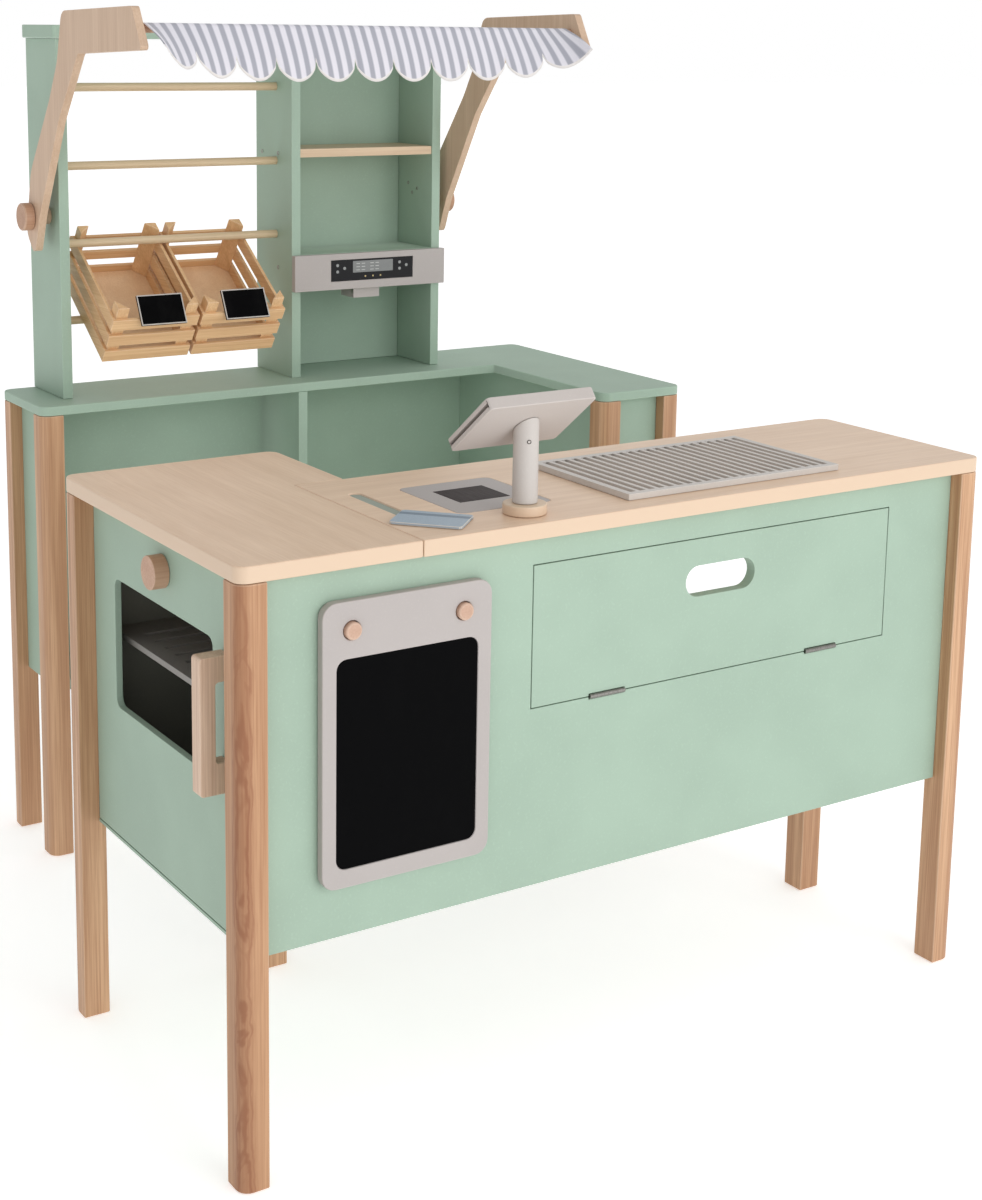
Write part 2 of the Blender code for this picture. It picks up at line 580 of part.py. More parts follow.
def label(name, x_mid):
    """A small chalk plate that leans back, with a clip over the top slat of the crate's front wall."""
    frame = crate_frame()
    top = 2 * SLAT_PITCH + SLAT_H
    edge = frame @ Vector((0, CRATE_D, top))
    half = LABEL_W / 2
    lean = Matrix.Translation((x_mid, edge.y - 0.0008, edge.z)) @ Matrix.Rotation(-LABEL_LEAN, 4, "X")
    below = 0.0085
    plate = block(name, -half, half, -LABEL_T, 0, -below, LABEL_H - below, turned=lean)
    x0, x1, y0 = x_mid - 0.012, x_mid + 0.012, CRATE_D - 0.0090
    over = block("over", x0, x1, y0, CRATE_D + 0.0012, top + GAP, top + 0.0030, turned=frame)
    behind = block("behind", x0, x1, y0, CRATE_D - SLAT_T - GAP, top - 0.010, top + 0.0030, turned=frame)
    return combine(plate, [over, behind], "UNION")


def arm_outline():
    corners = [
        (0.4728, 0.9500),
        (0.6431, 0.9441),
        (0.7030, 0.8705),
        (0.7680, 0.7600),
        (0.7875, 0.7110),
        (0.8120, 0.7370),
        (0.7945, 0.8080),
        (0.7306, 0.8918),
        (0.7040, 0.9350),
        (0.6885, 0.9895),
        (0.4972, 0.9937),
    ]
    return rounded(corners, (0.004, 0.006, 0.060, 0.040, 0.007, 0.016, 0.050, 0.080, 0.060, 0.013, 0.005), 3)


def awning():
    """Both arms with their standoffs, the rod between their tips, the cloth, and the two clamp knobs."""
    py, pz, t = ARM_PIVOT_Y, ARM_PIVOT_Z, ARM_T
    ends = (
        ("left", ARM_X[0], ARM_X[0] + t, ARM_X[0] + t + ARM_STANDOFF, POST_X, -1),
        ("right", ARM_X[1], ARM_X[1], ARM_X[1] - ARM_STANDOFF, TOWER_X1, 1),
    )
    for side, x, root, tip, wall, out in ends:
        arm = prism(f"awning_arm_{side}", "X", x, x + t, arm_outline())
        low, high = sorted((root + out * 0.002, tip))
        standoff = prism("standoff", "X", low, high, circle(py, pz, 0.0095, 24))
        combine(arm, [standoff], "UNION")
        low, high = sorted((root + out * 0.005, root - out * 0.02))
        end = circle(AWNING_ROD_Y, AWNING_ROD_Z, AWNING_ROD_R + GAP, 16)
        socket = prism("socket", "X", low, high, end)
        bore = prism("bore", "X", x - 0.03, x + t + 0.03, circle(py, pz, CLAMP_SHANK + 0.0004, 16))
        combine(arm, [socket, bore], "DIFFERENCE")
        outer = x if out < 0 else x + t
        low, high = sorted((outer + out * GAP, outer + out * (GAP + CLAMP_T)))
        knob = prism(f"awning_clamp_{side}", "X", low, high, circle(py, pz, CLAMP_R, 28))
        low, high = sorted((outer + out * 0.004, wall - out * 0.007))
        shank = prism("shank", "X", low, high, circle(py, pz, CLAMP_SHANK, 16))
        combine(knob, [shank], "UNION")
        board = bpy.data.objects["post_board" if out < 0 else "tower_right_board"]
        low, high = sorted((wall + out * 0.01, wall - out * 0.0075))
        stud_hole = prism("stud_hole", "X", low, high, circle(py, pz, CLAMP_SHANK + GAP, 16))
        combine(board, [stud_hole], "DIFFERENCE")
    prism(
        "awning_rod",
        "X",
        ARM_X[0] + t - 0.0046,
        ARM_X[1] + 0.0046,
        circle(AWNING_ROD_Y, AWNING_ROD_Z, AWNING_ROD_R, 16),
    )
    awning_cloth()


def awning_cloth():
    """A sleeve over the rod and a scalloped fall before it, which swings further forward at both ends."""
    per_scallop, rows, wrap = 6, 5, 5
    x0, x1 = ARM_X[0] + ARM_T + CLOTH_SHY, ARM_X[1] - CLOTH_SHY
    count = SCALLOPS * per_scallop + 1
    inner = AWNING_ROD_R + GAP
    bm = bmesh.new()
    rings = []
    for i in range(count):
        u = i / (count - 1)
        x = x0 + (x1 - x0) * u
        along = 2 * u - 1
        forward = CLOTH_FORWARD + CLOTH_END_LIFT * abs(along) ** 4
        inside = 0.5 < SCALLOPS * u < SCALLOPS - 0.5
        wave = abs(math.sin(math.pi * SCALLOPS * u)) ** 0.6 if inside else 1
        length = CLOTH_DROP - SCALLOP_DEEP + SCALLOP_DEEP * wave
        slope = math.asin(min(0.95, forward / CLOTH_DROP))
        start = math.pi - slope
        first = -math.radians(40)
        turns = [first + (start - first) * k / wrap for k in range(wrap + 1)]
        fall = Vector((-math.sin(slope), -math.cos(slope)))
        out = Vector((-math.cos(slope), math.sin(slope)))
        ring = []
        for side in (0, CLOTH_T):
            line = [Vector((math.cos(turn), math.sin(turn))) * (inner + side) for turn in turns]
            line += [out * (inner + side) + fall * length * (k + 1) / rows for k in range(rows)]
            ring.append([bm.verts.new((x, AWNING_ROD_Y + p.x, AWNING_ROD_Z + p.y)) for p in line])
        rings.append(ring[0] + ring[1][::-1])
    for one, two in zip(rings, rings[1:]):
        for k in range(len(one)):
            j = (k + 1) % len(one)
            bm.faces.new((one[k], one[j], two[j], two[k]))
    for ring in (rings[0], rings[-1]):
        half = len(ring) // 2
        for k in range(half - 1):
            bm.faces.new((ring[k], ring[k + 1], ring[-2 - k], ring[-1 - k]))
    as_object(bm, "awning_cloth")


def dress(finish, names):
    """Each node gets a material of its own, smooth round faces, and its origin in the middle of its box."""
    colour, roughness, metallic = FINISHES[finish]
    for name in names:
        obj = bpy.data.objects[name]
        material = bpy.data.materials.new(name)
        material.use_nodes = True
        shader = material.node_tree.nodes["Principled BSDF"]
        shader.inputs["Base Color"].default_value = (*colour, 1)
        shader.inputs["Roughness"].default_value = roughness
        shader.inputs["Metallic"].default_value = metallic
        obj.data.materials.clear()
        obj.data.materials.append(material)
        obj.data.shade_smooth()
        obj.data.set_sharp_from_angle(angle=math.radians(35))
        corners = [Vector(corner) for corner in obj.bound_box]
        middle = (corners[0] + corners[6]) / 2
        obj.data.transform(Matrix.Translation(-middle))
        obj.location = middle


def pivot(name, at, pieces, parent=None):
    """An empty on a joint's axis that carries the pieces which move about it."""
    empty = bpy.data.objects.new(name, None)
    bpy.context.scene.collection.objects.link(empty)
    empty.empty_display_size = 0.02
    world = Vector(at) - Vector((MIDDLE_X, MIDDLE_Y, 0))
    empty.location = world
    if parent:
        empty.parent = parent
        empty.location = world - parent.location
    for piece in pieces:
        obj = bpy.data.objects[piece]
        obj.parent = empty
        obj.location = obj.location - world
    return empty


def pivots():
    door = pivot("oven_door_pivot", (DOOR_X, DOOR_Y1 + 0.0005, 0.371), ["oven_door", "oven_handle"])
    pivot("oven_knob_pivot", (DOOR_X - 0.006, KNOB_Y, KNOB_Z), ["oven_knob"], door)
    pivot("serving_flap_pivot", ((FLAP_X0 + FLAP_X1) / 2, FLAP_PIVOT_Y, FLAP_PIVOT_Z), ["serving_flap"])
    pivot("menu_board_pivot", (0.1635, MENU_Y + MENU_T / 2, 0.380), ["menu_board", "menu_chalk_panel"])
    arms = ["awning_arm_left", "awning_arm_right", "awning_rod", "awning_cloth"]
    pivot("awning_pivot", ((ARM_X[0] + ARM_X[1] + ARM_T) / 2, ARM_PIVOT_Y, ARM_PIVOT_Z), arms)
    pivot("awning_clamp_left_pivot", (ARM_X[0] - 0.0075, ARM_PIVOT_Y, ARM_PIVOT_Z), ["awning_clamp_left"])
    right = ARM_X[1] + ARM_T + 0.0075
    pivot("awning_clamp_right_pivot", (right, ARM_PIVOT_Y, ARM_PIVOT_Z), ["awning_clamp_right"])
    for side, x0 in zip(("left", "right"), CRATE_X):
        at = (x0 + CRATE_W / 2, ROD_Y, ROD_Z[2])
        pivot(f"crate_{side}_pivot", at, [f"crate_{side}", f"crate_label_{side}"])
    pivot("pos_reader_pivot", (DISC_X, DISC_Y, FRONT_TOP_Z + 0.010), ["pos_post", "pos_head"])


for leftover in list(bpy.data.objects):
    bpy.data.objects.remove(leftover)
front_counter()
serving_flap()
menu_board()
oven()
worktop_things()
back_counter()
rod_rack_and_tower()
for side, x_left, x_label in zip(("left", "right"), CRATE_X, LABEL_X):
    crate(f"crate_{side}", x_left)
    label(f"crate_label_{side}", x_label)
awning()
dress("sage", SAGE)
dress("birch", ["front_worktop_run", "front_worktop_wing", "pos_base"])
dress("pine", [f"front_leg_{at}" for at in FRONT_AT])
dress("pine", [*(f"back_leg_{at}" for at in BACK_AT), "crate_left", "crate_right"])
dress("beech", BEECH)
dress("grey", ["menu_board", "control_panel", "scanner_plate", "pos_head", "serving_grate", "oven_rack"])
dress("light grey", ["pos_post"])
dress("chalk black", ["menu_chalk_panel", "crate_label_left", "crate_label_right"])
dress("display black", ["control_display", "scanner_glass"])
dress("card", ["payment_card"])
dress("steel", ["flap_hinge_left", "flap_hinge_right"])
dress("cloth", ["awning_cloth"])
pivots()
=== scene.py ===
import json
import math

import bmesh
import bpy
from mathutils import Matrix, Vector

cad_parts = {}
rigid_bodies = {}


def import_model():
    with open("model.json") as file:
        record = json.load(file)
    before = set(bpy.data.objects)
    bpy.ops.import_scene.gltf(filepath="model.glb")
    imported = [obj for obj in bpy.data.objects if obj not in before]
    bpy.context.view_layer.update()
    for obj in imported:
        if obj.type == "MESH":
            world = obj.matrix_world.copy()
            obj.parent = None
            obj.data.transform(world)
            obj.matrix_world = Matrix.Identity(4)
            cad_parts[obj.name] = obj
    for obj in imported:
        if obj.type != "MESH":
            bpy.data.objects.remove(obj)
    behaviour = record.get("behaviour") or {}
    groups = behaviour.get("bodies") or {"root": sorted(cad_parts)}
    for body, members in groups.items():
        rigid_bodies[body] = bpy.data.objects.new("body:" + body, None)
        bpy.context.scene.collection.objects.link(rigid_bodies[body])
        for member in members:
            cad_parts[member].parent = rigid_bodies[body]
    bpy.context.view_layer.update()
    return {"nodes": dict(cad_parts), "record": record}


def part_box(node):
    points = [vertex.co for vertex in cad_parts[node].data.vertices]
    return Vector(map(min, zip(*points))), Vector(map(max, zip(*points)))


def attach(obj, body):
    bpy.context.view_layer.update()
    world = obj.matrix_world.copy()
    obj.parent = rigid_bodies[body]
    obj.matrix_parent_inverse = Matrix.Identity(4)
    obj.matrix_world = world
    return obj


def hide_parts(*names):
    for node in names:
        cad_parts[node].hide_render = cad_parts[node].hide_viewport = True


for leftover in list(bpy.data.objects):
    bpy.data.objects.remove(leftover)
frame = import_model()


# Front counter legs. Square pine posts with one rounded corner, planed and clear lacquered.
# The boards of the heart wood are left in, so some faces carry a darker orange stripe.
# Each post is dowelled up into the worktop and screwed to the panels from inside.
body_of = {n: body for body, names in frame["record"]["behaviour"]["bodies"].items() for n in names}


def colour(red, green, blue):
    """A paint-chart colour, from 0 to 255, as the linear colour that a shader takes."""
    chart = [c / 255 for c in (red, green, blue)]
    return (*(c / 12.92 if c <= 0.04045 else ((c + 0.055) / 1.055) ** 2.4 for c in chart), 1)


def shader_of(name):
    material = bpy.data.materials.new(name)
    material.use_nodes = True
    tree = material.node_tree
    return material, tree, tree.nodes["Principled BSDF"]


def pattern(tree, kind, scale, shift=(0, 0, 0), turn=(0, 0, 0), **values):
    """A noise or wave texture on Object coordinates, stretched by its scale along X, Y and Z."""
    where = tree.nodes.new("ShaderNodeTexCoord")
    mapping = tree.nodes.new("ShaderNodeMapping")
    mapping.inputs["Location"].default_value = shift
    mapping.inputs["Rotation"].default_value = turn
    mapping.inputs["Scale"].default_value = scale
    made = tree.nodes.new(kind)
    for key, value in values.items():
        made.inputs[key].default_value = value
    tree.links.new(where.outputs["Object"], mapping.inputs["Vector"])
    tree.links.new(mapping.outputs["Vector"], made.inputs["Vector"])
    return made.outputs["Fac"]


def ranged(tree, value, low, high, to_low, to_high):
    """The share of a value between low and high, spread from to_low to to_high."""
    node = tree.nodes.new("ShaderNodeMapRange")
    tree.links.new(value, node.inputs["Value"])
    for key, number in (("From Min", low), ("From Max", high), ("To Min", to_low), ("To Max", to_high)):
        node.inputs[key].default_value = number
    return node.outputs["Result"]


def blended(tree, share, first, second):
    """One colour over another by a share from 0 to 1. Each is a colour or a socket."""
    node = tree.nodes.new("ShaderNodeMix")
    node.data_type = "RGBA"
    tree.links.new(share, node.inputs[0])
    for socket, given in ((node.inputs[6], first), (node.inputs[7], second)):
        if isinstance(given, tuple):
            socket.default_value = given
        else:
            tree.links.new(given, socket)
    return node.outputs[2]


def worked(tree, operation, *values):
    """A sum, product or sine of sockets and plain numbers."""
    node = tree.nodes.new("ShaderNodeMath")
    node.operation = operation
    for socket, given in zip(node.inputs, values):
        if isinstance(given, (int, float)):
            socket.default_value = given
        else:
            tree.links.new(given, socket)
    return node.outputs["Value"]


def bumped(tree, shader, height, strength, distance):
    bump = tree.nodes.new("ShaderNodeBump")
    bump.inputs["Strength"].default_value = strength
    bump.inputs["Distance"].default_value = distance
    tree.links.new(height, bump.inputs["Height"])
    tree.links.new(bump.outputs["Normal"], shader.inputs["Normal"])


def rounded_edge_share(tree):
    """1 on the narrow faces that ease_edges made, and 0 elsewhere."""
    node = tree.nodes.new("ShaderNodeAttribute")
    node.attribute_name = "eased"
    return node.outputs["Fac"]


def heart_at_corner(tree, corner, reach):
    """Heart wood round an upright corner: 1 at the corner, 0 past its reach, with wavering growth rings."""
    where = tree.nodes.new("ShaderNodeTexCoord")
    away = tree.nodes.new("ShaderNodeVectorMath")
    away.operation = "SUBTRACT"
    away.inputs[1].default_value = corner
    across = tree.nodes.new("ShaderNodeVectorMath")
    across.operation = "DOT_PRODUCT"
    across.inputs[1].default_value = (1, 1, 0)
    tree.links.new(where.outputs["Object"], away.inputs[0])
    tree.links.new(away.outputs["Vector"], across.inputs[0])
    noise = pattern(tree, "ShaderNodeTexNoise", (30, 30, 16), Scale=1.0, Detail=3.0, Distortion=0.8)
    sway = ranged(tree, noise, 0.25, 0.75, -0.3 * reach, 0.3 * reach)
    distance = worked(tree, "ADD", across.outputs["Value"], sway)
    ring_gap = 0.26 * reach
    rings = worked(tree, "SINE", worked(tree, "MULTIPLY", distance, 2 * math.pi / ring_gap))
    inside = ranged(tree, distance, 0.7 * reach, 1.15 * reach, 1, 0)
    return worked(tree, "MULTIPLY", inside, ranged(tree, rings, -0.6, 0.9, 0.42, 0.8))


def wood(
    name, pale, dark, axis, figure=0.5, fibre=0.5, shift=(0, 0, 0), turn=(0, 0, 0), heart=None, corner=None
):
    """Clear lacquered wood: fibres along an axis, broad growth bands, pores, and heart wood if asked."""
    material, tree, shader = shader_of(name)
    along = "XYZ".index(axis)

    def grain(across, down, detail, **values):
        scale = [across] * 3
        scale[along] = down
        return pattern(tree, "ShaderNodeTexNoise", scale, shift, turn, Scale=1.0, Detail=detail, **values)

    fibres = grain(620, 9, 5.0, Roughness=0.6)
    bands = grain(75, 1.6, 3.0, Roughness=0.55, Distortion=0.6)
    clouds = grain(14, 3.0, 2.0)
    tone = blended(tree, ranged(tree, bands, 0.36, 0.66, 0, figure), pale, dark)
    tone = blended(tree, ranged(tree, fibres, 0.40, 0.72, 0, fibre), tone, dark)
    tone = blended(tree, ranged(tree, clouds, 0.35, 0.70, 0, 0.22), tone, dark)
    if heart:
        stripe, low, high = heart
        middle = grain(34, 1.1, 2.5, Distortion=0.9)
        tone = blended(tree, ranged(tree, middle, low, high, 0, 0.85), tone, stripe)
    if corner:
        tone = blended(tree, heart_at_corner(tree, corner, 0.0125), tone, pine_heart)
    edge = ranged(tree, rounded_edge_share(tree), 0, 1, 0, 0.12)
    tone = blended(tree, edge, tone, colour(255, 240, 220))
    tree.links.new(tone, shader.inputs["Base Color"])
    tree.links.new(ranged(tree, fibres, 0.3, 0.7, 0.45, 0.58), shader.inputs["Roughness"])
    bumped(tree, shader, fibres, 0.12, 0.0003)
    shader.inputs["Coat Weight"].default_value = 0.12
    shader.inputs["Coat Roughness"].default_value = 0.35
    return material


def bevelled(bm, edges, width, segments, **more):
    """Rounds the given edges."""
    return bmesh.ops.bevel(
        bm, geom=edges, offset=width, affect="EDGES", segments=segments, profile=0.5, material=-1, **more
    )


def ease_edges(bm, width, segments=2, angle=28):
    """Merges a CAD node's loose triangles, joins the flat ones and rounds every corner edge."""
    bmesh.ops.remove_doubles(bm, verts=bm.verts, dist=0.00002)
    bmesh.ops.dissolve_limit(bm, angle_limit=math.radians(1), verts=bm.verts, edges=bm.edges)
    sharp = [e for e in bm.edges if len(e.link_faces) == 2 and e.calc_face_angle() > math.radians(angle)]
    corners = [e for e in sharp if e.is_convex]
    layer = bm.faces.layers.float.new("eased")
    made = bevelled(bm, corners, width, segments, clamp_overlap=True)
    for face in made["faces"]:
        face[layer] = 1.0


def piece(name, bm, material, body, nodes=()):
    """A finished mesh at the origin, shaded by its larger faces, that rides on a body."""
    mesh = bpy.data.meshes.new(name)
    bm.to_mesh(mesh)
    bm.free()
    mesh.shade_smooth()
    mesh.materials.append(material)
    made = bpy.data.objects.new(name, mesh)
    bpy.context.scene.collection.objects.link(made)
    shading = made.modifiers.new("even shading", "WEIGHTED_NORMAL")
    shading.keep_sharp = True
    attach(made, body)
    if nodes:
        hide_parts(*nodes)
    return made


def finished(node, suffix, material, width=0.0008, segments=2):
    """The CAD node with its edges eased and its finish on."""
    bm = bmesh.new()
    bm.from_mesh(frame["nodes"][node].data)
    ease_edges(bm, width, segments)
    return piece(f"{node}_{suffix}", bm, material, body_of[node], [node])


pine_pale, pine_dark, pine_heart = colour(214, 172, 134), colour(158, 108, 72), colour(138, 82, 48)
legs = ("near_left", "back_left", "wing_right", "near_right", "back_right")
for count, at in enumerate(legs):
    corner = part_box(f"front_leg_{at}")[0] if at == "near_left" else None
    heart = None if corner else (pine_heart, 0.60, 0.76)
    shift = (count * 1.7, count * 0.9, count * 0.4)
    # The near left post's pale tone is about a tenth darker than the other posts' as painted shade. Its heart
    # wood at the corner is the wood's own colour.
    pale = colour(198, 154, 116) if corner else pine_pale
    post = wood(f"pine_front_{at}", pale, pine_dark, "Z", 0.6, 0.75, shift, heart=heart, corner=corner)
    finished(f"front_leg_{at}", "lacquered", post, 0.0012, 3)


# Front worktop. Two birch plywood boards that meet in a straight joint and make an L over the oven.
# Satin lacquer, with pale plies along the cut edge and all edges well sanded.
# The right board has a shallow groove routed in it for cards, and a pocket for the scanner.
def plywood(name, face_pale, face_dark, axis, shift):
    """Birch plywood: very quiet face grain, and thin layers on every upright edge."""
    material, tree, shader = shader_of(name)
    scale = [95.0, 95.0, 95.0]
    scale["XYZ".index(axis)] = 4.0
    finer = [6 * share for share in scale]
    fine = pattern(tree, "ShaderNodeTexNoise", finer, shift, Scale=1.0, Detail=4.0, Roughness=0.6)
    figure = pattern(tree, "ShaderNodeTexNoise", scale, shift, Scale=1.0, Detail=2.0, Distortion=0.4)
    clouds = pattern(tree, "ShaderNodeTexNoise", (9, 9, 9), shift, Scale=1.0, Detail=2.0)
    face = blended(tree, ranged(tree, figure, 0.35, 0.70, 0, 0.40), face_pale, face_dark)
    face = blended(tree, ranged(tree, fine, 0.45, 0.75, 0, 0.35), face, face_dark)
    face = blended(tree, ranged(tree, clouds, 0.35, 0.70, 0, 0.25), face, face_dark)
    layers = pattern(tree, "ShaderNodeTexWave", (0, 0, 1), Scale=105.0, Distortion=0.4, Detail=1.0)
    layered = ranged(tree, layers, 0.35, 0.65, 0, 0.55)
    ply = blended(tree, layered, colour(218, 192, 166), colour(198, 168, 140))
    facing = tree.nodes.new("ShaderNodeNewGeometry")
    split = tree.nodes.new("ShaderNodeSeparateXYZ")
    tree.links.new(facing.outputs["Normal"], split.inputs["Vector"])
    upright = ranged(tree, split.outputs["Z"], 0.55, 0.25, 0, 1)
    tone = blended(tree, upright, face, ply)
    tree.links.new(tone, shader.inputs["Base Color"])
    tree.links.new(ranged(tree, fine, 0.3, 0.7, 0.42, 0.56), shader.inputs["Roughness"])
    bumped(tree, shader, fine, 0.08, 0.0003)
    shader.inputs["Coat Weight"].default_value = 0.15
    shader.inputs["Coat Roughness"].default_value = 0.3
    return material


birch_pale, birch_dark = colour(236, 208, 181), colour(212, 180, 151)
wing_ply = plywood("birch_wing", birch_pale, birch_dark, "Y", (0.3, 0.2, 0))
finished("front_worktop_wing", "lacquered", wing_ply, 0.0016, 3)
run_ply = plywood("birch_run", birch_pale, birch_dark, "X", (1.3, 0.7, 0))
finished("front_worktop_run", "lacquered", run_ply, 0.0012, 3)


def box_mesh(low, high):
    """A box between two corners."""
    low, high = Vector(low), Vector(high)
    size = high - low
    bm = bmesh.new()
    place = Matrix.Translation((low + high) / 2) @ Matrix.Diagonal((*size, 1))
    bmesh.ops.create_cube(bm, size=1, matrix=place)
    return bm


def painted(name, tone, dull=0.55, grainy=0.10, mottle=0.05):
    """Sprayed satin paint on fibreboard: fine orange peel, faint clouds, a little thinner along the edges."""
    material, tree, shader = shader_of(name)
    peel = pattern(tree, "ShaderNodeTexNoise", (1, 1, 1), Scale=1400.0, Detail=3.0, Roughness=0.6)
    clouds = pattern(tree, "ShaderNodeTexNoise", (1, 1, 1), Scale=11.0, Detail=3.0, Roughness=0.5)
    specks = pattern(tree, "ShaderNodeTexNoise", (1, 1, 1), Scale=420.0, Detail=2.0)
    darker = tuple(c * (1 - 2.2 * mottle) for c in tone[:3]) + (1,)
    paler = tuple(min(1, c * (1 + 2 * mottle) + 0.02) for c in tone[:3]) + (1,)
    face = blended(tree, ranged(tree, clouds, 0.35, 0.65, 0, 0.6), tone, darker)
    face = blended(tree, ranged(tree, specks, 0.55, 0.72, 0, 0.35), face, paler)
    face = blended(tree, ranged(tree, rounded_edge_share(tree), 0, 1, 0, 0.45), face, paler)
    tree.links.new(face, shader.inputs["Base Color"])
    tree.links.new(ranged(tree, specks, 0.35, 0.65, dull - 0.05, dull + 0.07), shader.inputs["Roughness"])
    bumped(tree, shader, peel, grainy, 0.0002)
    return material


# The groove's floor. The router leaves the plies bare, and they are wiped with the green paint.
run_low, run_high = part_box("front_worktop_run")
groove_half, groove_end, groove_mid = 0.0060, 0.0058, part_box("scanner_plate")[0].x - 0.0448
groove_start, groove_stop, groove_bottom, groove_wash = 0.0455, 0.1765, 0.0021, 0.0004
groove = box_mesh(
    (groove_mid - groove_half, run_low.y + groove_start, run_high.z - groove_bottom),
    (groove_mid + groove_half, run_low.y + groove_stop, run_high.z - groove_bottom + groove_wash),
)
upright_edges = [e for e in groove.edges if abs(e.verts[0].co.z - e.verts[1].co.z) > 0.0001]
bevelled(groove, upright_edges, groove_end, 8)
groove_paint = painted("groove_wash", colour(158, 166, 154), 0.7, 0.2, 0.08)
piece("card_groove_floor", groove, groove_paint, "counters")


# Front panels. Fibreboard sprayed sage green before assembly, set back behind the legs.
# The long one is cut out for the serving flap, and bored for the two menu pegs.
sage = colour(161, 184, 166)
sage_paint = painted("sage_paint", sage)
for node in ("front_panel", "front_end_panel"):
    finished(node, "painted", sage_paint, 0.0005)


# Oven in the wing. A green box with a slotted grey rack, and a thin green door with an open window.
# The door is hinged on two small steel leaves at its back edge and latches on the near leg.
finished("oven_carcass", "painted", sage_paint, 0.0005)
finished("oven_door", "painted", sage_paint, 0.0008, 3)
# The rack's grey is darker than the warm grey of the other grey parts. This is painted shade from inside the
# oven.
rack_shaded_paint = painted("oven_rack_paint_with_shade", colour(140, 136, 131), 0.5, 0.15)
finished("oven_rack", "painted", rack_shaded_paint, 0.0006)

# Painted shade: thin grey sheets laid over the green boards inside the oven, so its inside reads dark.
shade_sheet_paint = painted("oven_painted_shade_paint", colour(134, 134, 124), 0.6, 0.15, 0.08)
case_low, case_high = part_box("oven_carcass")
rack_low, rack_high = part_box("oven_rack")
# The grey skin is painted shade that darkens the oven's green inside. It is 0.4 mm thick over the 12 mm
# boards, and stops short of the rack and the worktop.
under, over, clear = 0.0122, 0.0126, 0.0006
mouth, rear, bottom, top = case_low.y + 0.0002, case_high.y - 0.0124, case_low.z + 0.0128, case_high.z - clear
wall_low_x, wall_high_x = case_high.x - over, case_high.x - under
for where, low, high in (
    (
        "floor",
        (case_low.x + 0.0090, mouth, case_low.z + under),
        (case_high.x - 0.0124, rear, case_low.z + over),
    ),
    ("side", (wall_low_x, mouth, bottom), (wall_high_x, rear, rack_low.z - clear)),
    ("side_high", (wall_low_x, mouth, rack_high.z + clear), (wall_high_x, rear, top)),
    (
        "back",
        (rack_low.x - 0.0080, case_high.y - over, bottom),
        (case_high.x - 0.0128, case_high.y - under, top),
    ),
):
    shade_sheet = box_mesh(low, high)
    ease_edges(shade_sheet, 0.0001, 1)
    piece(f"oven_painted_shade_{where}", shade_sheet, shade_sheet_paint, "counters")

beech_pale, beech_dark = colour(200, 162, 136), colour(168, 124, 98)
knob_wood = wood("beech_oven_knob", beech_pale, beech_dark, "X", 0.35, 0.45, (2.1, 0.3, 0.7))
handle_wood = wood("beech_oven_handle", colour(226, 198, 174), beech_dark, "Z", 0.4, 0.5, (0.2, 1.3, 0.1))
finished("oven_knob", "lacquered", knob_wood, 0.0022, 4)
finished("oven_handle", "lacquered", handle_wood, 0.0018, 3)


def steel(name, tone):
    """Zinc plated steel with fine rolling marks."""
    material, tree, shader = shader_of(name)
    marks = pattern(tree, "ShaderNodeTexNoise", (900, 900, 60), Scale=1.0, Detail=3.0)
    paler = tuple(min(1, c * 1.25) for c in tone[:3]) + (1,)
    rolled = blended(tree, ranged(tree, marks, 0.35, 0.65, 0, 1), tone, paler)
    tree.links.new(rolled, shader.inputs["Base Color"])
    tree.links.new(ranged(tree, marks, 0.3, 0.7, 0.24, 0.42), shader.inputs["Roughness"])
    shader.inputs["Metallic"].default_value = 1.0
    bumped(tree, shader, marks, 0.08, 0.0002)
    return material


hinge_steel = steel("hinge_steel", colour(128, 126, 122))
door_low, door_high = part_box("oven_door")
for where, height in (("upper", 0.491), ("lower", 0.221)):
    leaf = box_mesh(
        (door_low.x + 0.0003, door_high.y + 0.0003, height - 0.011),
        (door_high.x - 0.0005, door_high.y + 0.0008, height + 0.011),
    )
    piece(f"oven_hinge_{where}", leaf, hinge_steel, "counters")


# Serving flap. It is cut from the front panel's own board, so that its face runs through.
# Two steel barrel hinges let into its lower edge let it swing down and out.
finished("serving_flap", "painted", sage_paint, 0.0008, 3)
for side in ("left", "right"):
    finished(f"flap_hinge_{side}", "plated", hinge_steel, 0.0003)


# Menu board. A warm grey frame with generous round-overs and a black chalk panel let into it.
# It hangs on two beech pegs, and lifts off them.
grey_paint = painted("warm_grey_paint", colour(178, 171, 168), 0.5, 0.08, 0.03)
finished("menu_board", "painted", grey_paint, 0.0016, 3)
for side in ("left", "right"):
    tones = colour(204, 170, 148), colour(172, 132, 110)
    peg_wood = wood(f"beech_menu_peg_{side}", *tones, "Y", 0.3, 0.4, (0.7, 0.2, 0.9))
    finished(f"menu_peg_{side}", "lacquered", peg_wood, 0.0018, 4)


def chalkboard(name, dust=0.10):
    """Chalkboard paint with the faint grey bloom of wiped chalk."""
    material, tree, shader = shader_of(name)
    wipe = (0, 0.6, 0)
    smear = pattern(tree, "ShaderNodeTexNoise", (30, 30, 12), turn=wipe, Scale=1.0, Detail=5.0, Roughness=0.7)
    tooth = pattern(tree, "ShaderNodeTexNoise", (1, 1, 1), Scale=1900.0, Detail=2.0)
    tone = blended(tree, ranged(tree, smear, 0.48, 0.78, 0, dust), colour(5, 5, 6), colour(60, 60, 59))
    tone = blended(tree, ranged(tree, tooth, 0.5, 0.8, 0, 0.03), tone, colour(70, 70, 70))
    tree.links.new(tone, shader.inputs["Base Color"])
    tree.links.new(ranged(tree, smear, 0.3, 0.7, 0.50, 0.66), shader.inputs["Roughness"])
    shader.inputs["Specular IOR Level"].default_value = 0.03
    bumped(tree, shader, tooth, 0.12, 0.0002)
    return material


finished("menu_chalk_panel", "chalked", chalkboard("menu_chalkboard", 0.03), 0.0004)


